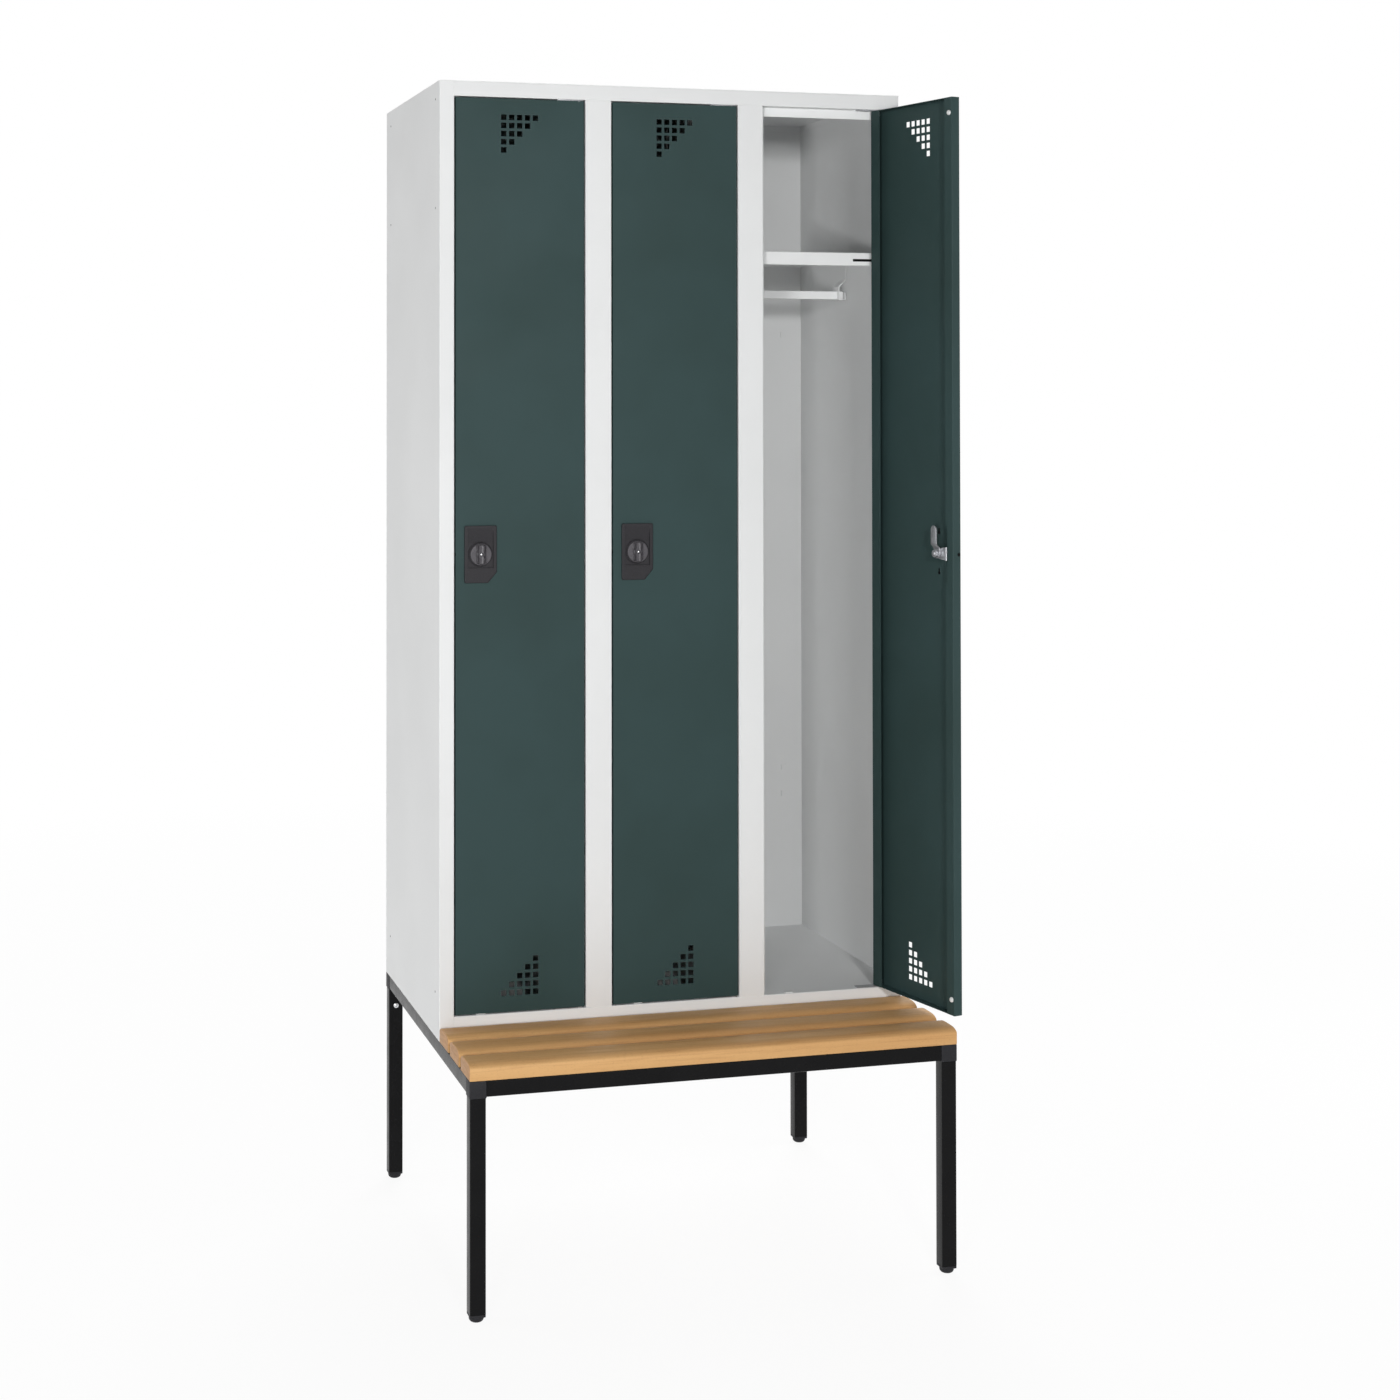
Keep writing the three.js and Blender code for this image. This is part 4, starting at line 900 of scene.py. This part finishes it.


# a fixing stud fills a keyhole in the door's sheet, a round part and a slot above it, and stands a little
# proud of the sheet inside the door; its near-black is painted shade of the open keyhole
def studShell(z):
    look = studLook
    r, edge, front, back = look["radius"], look["edge"], look["front"], look["back"]
    profile = [(0, front), (r, front), (r, back - edge), (r - edge, back), (0, back)]
    x = plateCorner[0] + plateLook["pocketX"]
    head = turned(profile, 1, (x, 0, z), look["steps"])
    slot = strip((x - look["slotHalf"], 0, z), (x + look["slotHalf"], back, z + look["slotReach"]), 2, edge)
    return gathered(head, slot)


studPlaces = [plateLook["pocketFromEnd"], plateLook["height"] - plateLook["pocketFromEnd"]]
r, proud, edge, sink = (studLook[key] for key in ("edgeRadius", "edgeProud", "edge", "edgeSink"))
edgeStud = turned(     # a round stud in the door's free edge at the lock's height
    [(0, -proud), (r - edge, -proud), (r, edge - proud), (r, sink), (0, sink)], 0,
    (0, studLook["edgeSetback"], shaftPlace["height"]), studLook["steps"],
)
studs = gathered(*(studShell(plateCorner[2] + place) for place in studPlaces), edgeStud)
for number in doorPlan["doors"]:
    shell = (placedOnDoor(number, studs[0]), studs[1])
    makePiece(f"shadeBlackStuds{number}", shell, blackRubber, f"door_{number}")

# Knobs, shafts, latch arms and nuts are drawn about the shaft: x across, y from the door's front face, z up
knobLook = {
    "radius": 19.8, "back": -2.2, "thickness": 5, "rim": 1.6,
    "gripHalf": 6.2, "gripTopHalf": 3.6, "gripProud": 4.6, "gripScoop": 0.9,
    "ridgeAt": 9.2, "ridgeHalf": 1.5, "ridgeTopShare": 0.35, "ridgeProud": 1.4, "troughDepth": 3.2,
    "bossRadius": 8.2, "bossEase": 1.2, "fadeFrom": 0.9, "fadeTo": 3.2,
    "holeRadius": 3.4, "holeDepth": 3.6, "holeWall": 0.03,
    "pinRadius": 1.9, "pinProud": 2.4, "pinDome": 0.7, "pinSink": 1, "pinArcSteps": 6, "pinSteps": 32,
    "rings": 66, "steps": 192, "rimRingShares": (0.03, 0.1, 0.22, 0.38, 0.58, 0.8),
}


# height over the knob's back at (x, z): a disc with a rounded rim, an upright bar across it whose sides
# ease down and whose top is scooped, a trough and a thin ridge on each side of the bar, which fade towards
# the rim, no trough within a round boss in the middle, and a round hole for the pin
def knobHeight(x, z):
    look = knobLook
    reach = np.hypot(x, z)
    inside = (look["radius"] - reach).clip(0)
    rim = (inside / look["rim"]).clip(0, 1)
    height = look["thickness"] - look["rim"] * (1 - np.sqrt(1 - (1 - rim) ** 2))
    fade = eased(inside, look["fadeFrom"], look["fadeTo"])
    barShare = 1 - eased(np.abs(x), look["gripTopHalf"], look["gripHalf"])
    scoop = look["gripScoop"] * (1 - eased(np.abs(x), 0, look["gripTopHalf"]))
    height += fade * barShare * (look["gripProud"] - scoop * (reach > look["holeRadius"]))
    fromRidge, half = np.abs(np.abs(x) - look["ridgeAt"]), look["ridgeHalf"]
    ridge = 1 - eased(fromRidge, half * look["ridgeTopShare"], half)
    trough = (1 - barShare) * (1 - eased(np.abs(x), look["ridgeAt"] - half, look["ridgeAt"]))
    trough *= eased(reach, look["bossRadius"] - look["bossEase"], look["bossRadius"] + look["bossEase"])
    height += fade * (ridge * look["ridgeProud"] - trough * look["troughDepth"])
    holeFloor = look["thickness"] + look["gripProud"] - look["holeDepth"]
    return np.where(reach < look["holeRadius"], holeFloor, height)


# rings from the middle to the rim, each at its height, then one ring and the middle again on the back plane
def knobShell():
    look = knobLook
    ring = np.linspace(look["holeRadius"] + look["holeWall"], look["radius"], look["rings"])
    edge = look["radius"] - look["rim"] * np.array(look["rimRingShares"])
    ring = np.unique(np.concatenate([[0, look["holeRadius"] - look["holeWall"]], ring, edge]))
    angle = np.linspace(0, 2 * np.pi, look["steps"], endpoint=False)
    reach, turn = np.meshgrid(ring, angle, indexing="ij")
    x, z = reach * np.cos(turn), reach * np.sin(turn)
    front = np.stack([x, look["back"] - knobHeight(x, z), z], axis=-1)
    backRim = np.stack([x[-1], np.full(look["steps"], look["back"]), z[-1]], axis=-1)
    backMiddle = backRim * np.array([0, 1, 0])
    points = np.concatenate([front.reshape(-1, 3), backRim, backMiddle])
    return points, gridFaces(len(ring) + 2, look["steps"], closedColumns=True)


# the pin in the knob's hole: a short rod with a domed end
def knobPin():
    look = knobLook
    floor = look["back"] - (look["thickness"] + look["gripProud"] - look["holeDepth"])
    r, foot = look["pinRadius"], floor + look["pinSink"]
    dome = domeProfile(r, floor - look["pinProud"], look["pinDome"], look["pinArcSteps"])
    return turned([*dome, (r, foot), (0, foot)], 1, (0, 0, 0), look["pinSteps"])


shaftLook = {
    "radius": 5, "start": -2.4, "shoulder": 16, "end": 27, "threadRadius": 4,
    "pitch": 1.25, "threadDepth": 0.55, "endChamfer": 0.9, "steps": 32, "rowsPerTurn": 10,
}


# plain rod to the shoulder, then a thread: its radius less the depth times the triangle wave of
# (along / pitch - turn), with a chamfer at the end
def shaftShell():
    look = shaftLook
    count = int((look["end"] - look["shoulder"]) / look["pitch"] * look["rowsPerTurn"])
    along = np.linspace(look["shoulder"], look["end"], count)
    angle = np.linspace(0, 2 * np.pi, look["steps"], endpoint=False)
    place, turn = np.meshgrid(along, angle, indexing="ij")
    wave = np.abs(((place / look["pitch"] - turn / (2 * np.pi)) % 1) * 2 - 1)
    fromEnd = look["end"] - place
    radius = look["threadRadius"] - look["threadDepth"] * wave
    radius = np.minimum(radius, look["threadRadius"] - look["endChamfer"] + fromEnd)
    thread = np.stack([radius * np.cos(turn), place, radius * np.sin(turn)], axis=-1)
    ring = np.stack([np.cos(angle), np.zeros(look["steps"]), np.sin(angle)], axis=-1)
    along = np.array([0, 1, 0])
    start = [ring * 0 + along * look["start"], ring * look["radius"] + along * look["start"]]
    start += [ring * look["radius"] + along * look["shoulder"]]
    close = [ring * 0 + along * look["end"]]
    points = np.concatenate([*start, thread.reshape(-1, 3), *close])
    return points, gridFaces(len(start) + count + len(close), look["steps"], closedColumns=True)


armLook = {
    "seat": 16.3, "thickness": 2.5, "hubRadius": 9, "width": 16, "reach": 51,
    "crankFrom": 7.5, "crankTo": 18.5, "crankRise": 7.5, "edge": 0.5, "edgeSteps": 4, "stations": 72,
}


# a flat bar standing up from its hub: half width is a half circle at each end, and the bar steps back
# from the seat by the crank's rise as it climbs
def armShell():
    look = armLook
    r, half = look["hubRadius"], look["width"] / 2
    tip = look["reach"] - half
    sweep = (1 - np.cos(np.linspace(0, np.pi, look["stations"]))) / 2
    z = -r + (look["reach"] + r) * sweep
    halfWidth = r + (half - r) * eased(z, 0, look["crankTo"])
    halfWidth = np.where(z < 0, np.sqrt((r * r - z * z).clip(0)), halfWidth)
    halfWidth = np.where(z > tip, np.sqrt((half ** 2 - (z - tip) ** 2).clip(0)), halfWidth)
    y = look["seat"] + look["crankRise"] * eased(z, look["crankFrom"], look["crankTo"])
    turn = np.linspace(0, np.pi / 2, look["edgeSteps"])
    signX = np.repeat([1, -1, -1, 1], look["edgeSteps"])
    signY = np.repeat([1, 1, -1, -1], look["edgeSteps"])
    angle = np.concatenate([turn, turn[::-1], turn, turn[::-1]])
    edge = np.minimum(look["edge"], halfWidth)[:, None]
    x = signX * (halfWidth[:, None] - edge + edge * np.cos(angle))
    flat = look["thickness"] / 2 - look["edge"]
    depth = signY * (flat + look["edge"] * np.sin(angle)) + look["thickness"] / 2
    points = np.stack([x, y[:, None] + depth, np.broadcast_to(z[:, None], x.shape)], axis=-1)
    return points.reshape(-1, 3), gridFaces(*x.shape, closedColumns=True)


nutLook = {
    "across": 13, "thickness": 6, "bore": 4.15, "start": 19.1, "crownShare": 0.97,
    "cutAngle": math.radians(30), "steps": 72,
}


# the hexagon's outline is half the width across flats over cos of the angle from the nearest flat's middle;
# outside the crown circle both faces are cut down by the cut angle
def nutShell(look=nutLook):
    angle = np.linspace(0, 2 * np.pi, look["steps"], endpoint=False)
    sixth = np.pi / 3
    fromFlat = (angle + sixth / 2) % sixth - sixth / 2
    outline = look["across"] / 2 / np.cos(fromFlat)
    crown = look["across"] / 2 * look["crownShare"]
    cut = (outline - crown) * math.tan(look["cutAngle"])
    start, end = look["start"], look["start"] + look["thickness"]
    full = np.ones(look["steps"])
    loop = [(full * look["bore"], full * start), (full * crown, full * start), (outline, start + cut)]
    loop += [(outline, end - cut), (full * crown, full * end), (full * look["bore"], full * end)]
    points = [np.stack([r * np.cos(angle), y, r * np.sin(angle)], axis=1) for r, y in loop]
    return np.concatenate(points), gridFaces(len(loop), look["steps"], True, True)


latchPieces = [
    ("knob", knobShell(), knobPlastic, "knob_grey", "latch_{}_knob"),
    ("knobPin", knobPin(), brightSteel, "zinc", "latch_{}_knob"),
    ("lockShaft", shaftShell(), zinc, "zinc", "latch_{}_knob"),
    ("latchArm", armShell(), zinc, "zinc", "latch_{}_arm"),
    ("latchNut", nutShell(), zinc, "zinc", "latch_{}_nut"),
]
shaftCentre = np.array([shaftPlace["fromFreeEdge"], 0, shaftPlace["height"]])
for number in doorPlan["doors"]:
    for kind, (points, faces), material, slotName, node in latchPieces:
        shell = (placedOnDoor(number, points + shaftCentre), faces)
        makePiece(f"{kind}{number}", shell, material, f"latch_{number}", [node.format(number)])
print("locks made")

# Buffers on the doors, glides on the sill, screws and bolts
bufferLook = {
    "radius": 4.7, "proud": 3.2, "foot": 0.8, "stem": 2.6, "stemReach": 4,
    "dimple": 1.5, "dimpleFloorShare": 0.8, "dimpleDepth": 1.2,
    "fromFreeEdge": 7.5, "fromEnd": 28.5, "lipBack": 18, "steps": 40, "arcSteps": 7,
}


# a domed head on the lip's outer face with a small hollow in it, and a stem through the lip
def bufferShell(z):
    look = bufferLook
    base, r, stem, dimple = look["lipBack"], look["radius"], look["stem"], look["dimple"]
    floor, inner = base + look["proud"] - look["dimpleDepth"], base - look["stemReach"]
    turn = np.linspace(0, np.pi / 2, look["arcSteps"])
    across = dimple + (r - dimple) * np.sin(turn)
    rise = base + look["foot"] + (look["proud"] - look["foot"]) * np.cos(turn)
    profile = [(0, floor), (dimple * look["dimpleFloorShare"], floor), *zip(across, rise), (r, base)]
    profile += [(stem, base), (stem, inner), (0, inner)]
    return turned(profile, 1, (look["fromFreeEdge"], 0, z), look["steps"])


bufferHeights = {
    "Lower": doorPlan["bottom"] + bufferLook["fromEnd"], "Upper": doorPlan["top"] - bufferLook["fromEnd"],
}
for number in doorPlan["doors"]:
    for level, z in bufferHeights.items():
        points, faces = bufferShell(z)
        shell = (placedOnDoor(number, points), faces)
        makePiece(f"buffer{level}{number}", shell, nylon, f"door_{number}")

# low glides on the sill under the doors
glideLook = {
    "firstOpening": 27.5, "openingPitch": 298.333, "fromOpening": 42, "length": 18, "front": 3, "depth": 11,
    "sill": 453, "height": 1.8, "edge": 0.7, "corner": 2.5, "cornerSteps": 5,
}
for number in doorPlan["doors"]:
    look = glideLook
    left = look["firstOpening"] + (number - 1) * look["openingPitch"] + look["fromOpening"]
    section, normals = roundedSection(
        left, look["front"], left + look["length"], look["front"] + look["depth"],
        look["corner"], look["cornerSteps"],
    )
    points, faces = bar(section, normals, 2, look["sill"], look["sill"] + look["height"], look["edge"])
    makePiece(f"sillGlide{number}", (placed(points), faces), nylon, "cabinet")

screwLook = {
    "crossWidth": 0.75, "crossReach": 2.4, "crossDepth": 1.5, "crossFloorShare": 0.6, "rimShare": 0.3,
    "tip": 1, "rings": 22, "steps": 64,
}


# 1 in the middle of the cross's arm along v, 0 outside it, with eased sides
def crossArm(u, v):
    width, reach, share = (screwLook[key] for key in ("crossWidth", "crossReach", "crossFloorShare"))
    return (1 - eased(np.abs(u), width * share, width)) * (1 - eased(np.abs(v), reach * share, reach))


# a pan head rises by its height times (rim share + the rest * sqrt(1 - (r/R)^2)), less a cross-shaped
# recess, on a plain shank; direction is 1 or -1 along the axis
def screwShell(size, axis, centre, direction):
    look = screwLook
    ring = size["headRadius"] * np.sin(np.linspace(0, np.pi / 2, look["rings"]))
    angle = np.linspace(0, 2 * np.pi, look["steps"], endpoint=False)
    reach, turn = np.meshgrid(ring, angle, indexing="ij")
    a, b = reach * np.cos(turn), reach * np.sin(turn)
    roundness = np.sqrt((1 - (reach / size["headRadius"]) ** 2).clip(0))
    rise = size["headHeight"] * (look["rimShare"] + (1 - look["rimShare"]) * roundness)
    rise = rise - look["crossDepth"] * np.maximum(crossArm(a, b), crossArm(b, a))
    rows = [np.stack([a, b, rise], axis=-1)]
    circle = np.stack([np.cos(angle), np.sin(angle)], axis=-1)
    r, length = size["shankRadius"], size["reach"]
    for radius, level in ((size["headRadius"], 0), (r, 0), (r, look["tip"] - length), (0, -length)):
        rows.append(np.concatenate([circle * radius, np.full((look["steps"], 1), level)], axis=1)[None])
    local = np.concatenate(rows).reshape(-1, 3)
    points = carriedTo(axis, local[:, 2] * direction, local[:, :2]) + np.asarray(centre, float)
    return placed(points), gridFaces(len(ring) + 4, look["steps"], closedColumns=True)


slatScrews = {
    "fromRear": 18, "headRadius": 4.6, "headHeight": 2.6, "shankRadius": 2.2, "reach": 40, "under": 382,
}
for name in slatLook["names"]:
    rear = nodeBox(f"seat_slat_{name}")[1][1]
    for side in ("left", "right"):
        low, high = nodeBox(f"bench_tube_{side}")
        centre = ((low[0] + high[0]) / 2, rear - slatScrews["fromRear"], slatScrews["under"])
        shell = screwShell(slatScrews, 2, centre, -1)
        makePiece(camel(f"slat_screw_{name}_{side}"), shell, brightSteel, "cabinet")

legScrews = {"height": 348, "headRadius": 5.2, "headHeight": 3.0, "shankRadius": 2.1, "reach": 9}
for corner in cornerNames:
    low, high = nodeBox(f"leg_{corner}")
    y, direction = (high[1], 1) if "front" in corner else (low[1], -1)
    shell = screwShell(legScrews, 1, ((low[0] + high[0]) / 2, y, legScrews["height"]), direction)
    makePiece(camel(f"leg_screw_{corner}"), shell, brightSteel, "cabinet")

boltLook = {
    "fromSide": 12, "y": 430, "under": 382, "headHeight": 5.2, "socket": 1.2, "socketDepth": 0.4,
    "shankRadius": 3.9, "shankSink": 0.5, "endChamfer": 1, "flangeTop": 411, "nutHeight": 6,
    "nutClearance": 0.1, "headBore": 1.0, "end": 421, "steps": 48,
}


# hexagon head under the tube, plain shank up through the cabinet's flange, and a nut on the flange
def boltShell(x):
    look = boltLook
    start = look["under"] - look["headHeight"]
    head = dict(nutLook, thickness=look["headHeight"], bore=look["headBore"], start=start)
    bore = look["shankRadius"] + look["nutClearance"]
    nut = dict(nutLook, thickness=look["nutHeight"], bore=bore, start=look["flangeTop"])
    shells = []
    for part in (head, nut):
        points, faces = nutShell(part)
        shells.append((points[:, [0, 2, 1]] + np.array([x, look["y"], 0]), faces))
    r, socket, chamfer, end = look["shankRadius"], look["socket"], look["endChamfer"], look["end"]
    floor, neck = start + look["socketDepth"], look["under"] - look["shankSink"]
    profile = [(0, floor), (socket, floor), (socket, neck), (r, neck)]
    profile += [(r, end - chamfer), (r - chamfer, end), (0, end)]
    shells.append(turned(profile, 2, (x, look["y"], 0), look["steps"]))
    points, faces = gathered(*shells)
    return placed(points), faces


for side, x in (("Left", boltLook["fromSide"]), ("Right", cabinetPlan["width"] - boltLook["fromSide"])):
    makePiece(f"cabinetBolt{side}", boltShell(x), zinc, "cabinet")
print("fittings made")

# Floor, lights and camera
studio = {
    "floorRadius": 14.0, "floorRings": 24, "floorSteps": 96, "grainScale": 40.0,
    "floorDark": color(242, 242, 242), "floorLight": color(244, 244, 244), "floorRough": 0.9,
    "whiteShareNear": 0.92, "whiteShareFar": 1.0, "nearDistance": 1.0, "farDistance": 4.5,
    "worldLevel": 0.12, "aim": (0.0, 0.0, 1.25),
}
lampLook = {
    "frontLamp": {"place": (-0.46, -4.4, 2.2), "size": (0.4, 0.5), "power": 71.0},
    "frontLeftLamp": {"place": (-2.2, -4.0, 1.1), "size": (0.5, 0.6), "power": 67.0},
    "leftLamp": {"place": (-3.4, 0.8, 1.3), "size": (2.0, 2.0), "power": 36.0},
    "rightLamp": {"place": (3.0, -0.1, 1.5), "size": (1.5, 1.8), "power": 32.0},
    "backLamp": {"place": (1.2, 3.6, 4.4), "size": (2.6, 2.6), "power": 165.0},
}


# flat disc of rings whose radius grows with the square of the ring's number
def floorShell():
    radius = studio["floorRadius"] * np.linspace(0, 1, studio["floorRings"]) ** 2
    angle = np.linspace(0, 2 * np.pi, studio["floorSteps"], endpoint=False)
    r, turn = np.meshgrid(radius, angle, indexing="ij")
    points = np.stack([r * np.cos(turn), r * np.sin(turn), np.zeros_like(r)], axis=-1).reshape(-1, 3)
    return points, gridFaces(len(radius), len(angle), closedColumns=True)


# 1 for camera, glossy and transmission rays, which see the background, and 0 for the others
def backgroundRays(tree):
    path = tree.nodes.new("ShaderNodeLightPath")
    total = path.outputs["Is Camera Ray"]
    for name in ("Is Glossy Ray", "Is Transmission Ray"):
        either = tree.nodes.new("ShaderNodeMath")
        either.operation = "MAXIMUM"
        tree.links.new(total, either.inputs[0])
        tree.links.new(path.outputs[name], either.inputs[1])
        total = either.outputs[0]
    return total


# pale floor: soft grey-white paint, but mostly plain white for the rays above, and all white further out
def floorFinish():
    finish = Finish("paleFloor")
    grain = finish.noise(same(studio["grainScale"]), detail=3)
    grain = finish.spread(grain, *patternLook["band"], 0, 1)
    tone = finish.mixed(grain, studio["floorDark"], studio["floorLight"])
    finish.set(Base_Color=tone, Roughness=studio["floorRough"], Specular_IOR_Level=0.0)
    white = finish.add("ShaderNodeEmission")
    distance = finish.add("ShaderNodeVectorMath", operation="LENGTH")
    finish.give(distance.inputs[0], finish.place)
    share = finish.spread(
        distance.outputs["Value"], studio["nearDistance"], studio["farDistance"],
        studio["whiteShareNear"], studio["whiteShareFar"],
    )
    seen = finish.add("ShaderNodeMath", operation="MULTIPLY")
    finish.give(seen.inputs[0], share)
    finish.give(seen.inputs[1], backgroundRays(finish.tree))
    mix = finish.add("ShaderNodeMixShader")
    finish.give(mix.inputs[0], seen.outputs[0])
    finish.give(mix.inputs[1], finish.shader.outputs[0])
    finish.give(mix.inputs[2], white.outputs[0])
    finish.give(finish.output.inputs["Surface"], mix.outputs[0])
    return finish.material


floorPoints, floorFaces = floorShell()
floorMesh = bpy.data.meshes.new("floor")
floorMesh.from_pydata(floorPoints.tolist(), [], floorFaces.tolist())
floorWork = bmesh.new()
floorWork.from_mesh(floorMesh)
bmesh.ops.remove_doubles(floorWork, verts=floorWork.verts, dist=shading["mergeDistance"])
floorWork.to_mesh(floorMesh)
floorWork.free()
floorMesh.materials.append(floorFinish())
floor = bpy.data.objects.new("floor", floorMesh)
bpy.context.scene.collection.objects.link(floor)

# the world lights the piece weakly and evenly, and is plain white for the rays above
world = bpy.data.worlds.new("studio")
world.use_nodes = True
bpy.context.scene.world = world
worldTree = world.node_tree
worldTree.nodes.clear()
background = worldTree.nodes.new("ShaderNodeBackground")
background.inputs["Color"].default_value = (1, 1, 1, 1)
level = worldTree.nodes.new("ShaderNodeMapRange")
worldTree.links.new(backgroundRays(worldTree), level.inputs[0])
level.inputs[3].default_value = studio["worldLevel"]
level.inputs[4].default_value = 1.0
worldTree.links.new(level.outputs[0], background.inputs["Strength"])
worldOutput = worldTree.nodes.new("ShaderNodeOutputWorld")
worldTree.links.new(background.outputs[0], worldOutput.inputs["Surface"])


# an area lamp, wide by high in metres, at its place and looking at the aim point
def softLamp(name, place, size, power):
    lamp = bpy.data.lights.new(name, "AREA")
    lamp.shape = "RECTANGLE"
    lamp.size, lamp.size_y = size
    lamp.energy = power
    holder = bpy.data.objects.new(name, lamp)
    holder.location = place
    holder.rotation_euler = (Vector(studio["aim"]) - Vector(place)).to_track_quat("-Z", "Y").to_euler()
    bpy.context.scene.collection.objects.link(holder)
    return holder


for name, lamp in lampLook.items():
    softLamp(name, **lamp)

cameraLook = {
    "place": (-1.321355, -4.020621, 1.579725), "tilt": math.pi / 2 + 0.015427, "turn": -0.243562,
    "lens": 56.49, "sensor": 36.0, "shiftX": 0.14497, "shiftY": -0.24306,
}
cameraData = bpy.data.cameras.new("photoCamera")
cameraData.sensor_fit = "HORIZONTAL"
cameraData.sensor_width = cameraLook["sensor"]
cameraData.lens = cameraLook["lens"]
cameraData.shift_x = cameraLook["shiftX"]
cameraData.shift_y = cameraLook["shiftY"]
camera = bpy.data.objects.new("photoCamera", cameraData)
camera.location = cameraLook["place"]
camera.rotation_euler = (cameraLook["tilt"], 0, cameraLook["turn"])
bpy.context.scene.collection.objects.link(camera)
bpy.context.scene.camera = camera
bpy.context.scene.view_settings.view_transform = "Standard"
print("floor, lights and camera made")
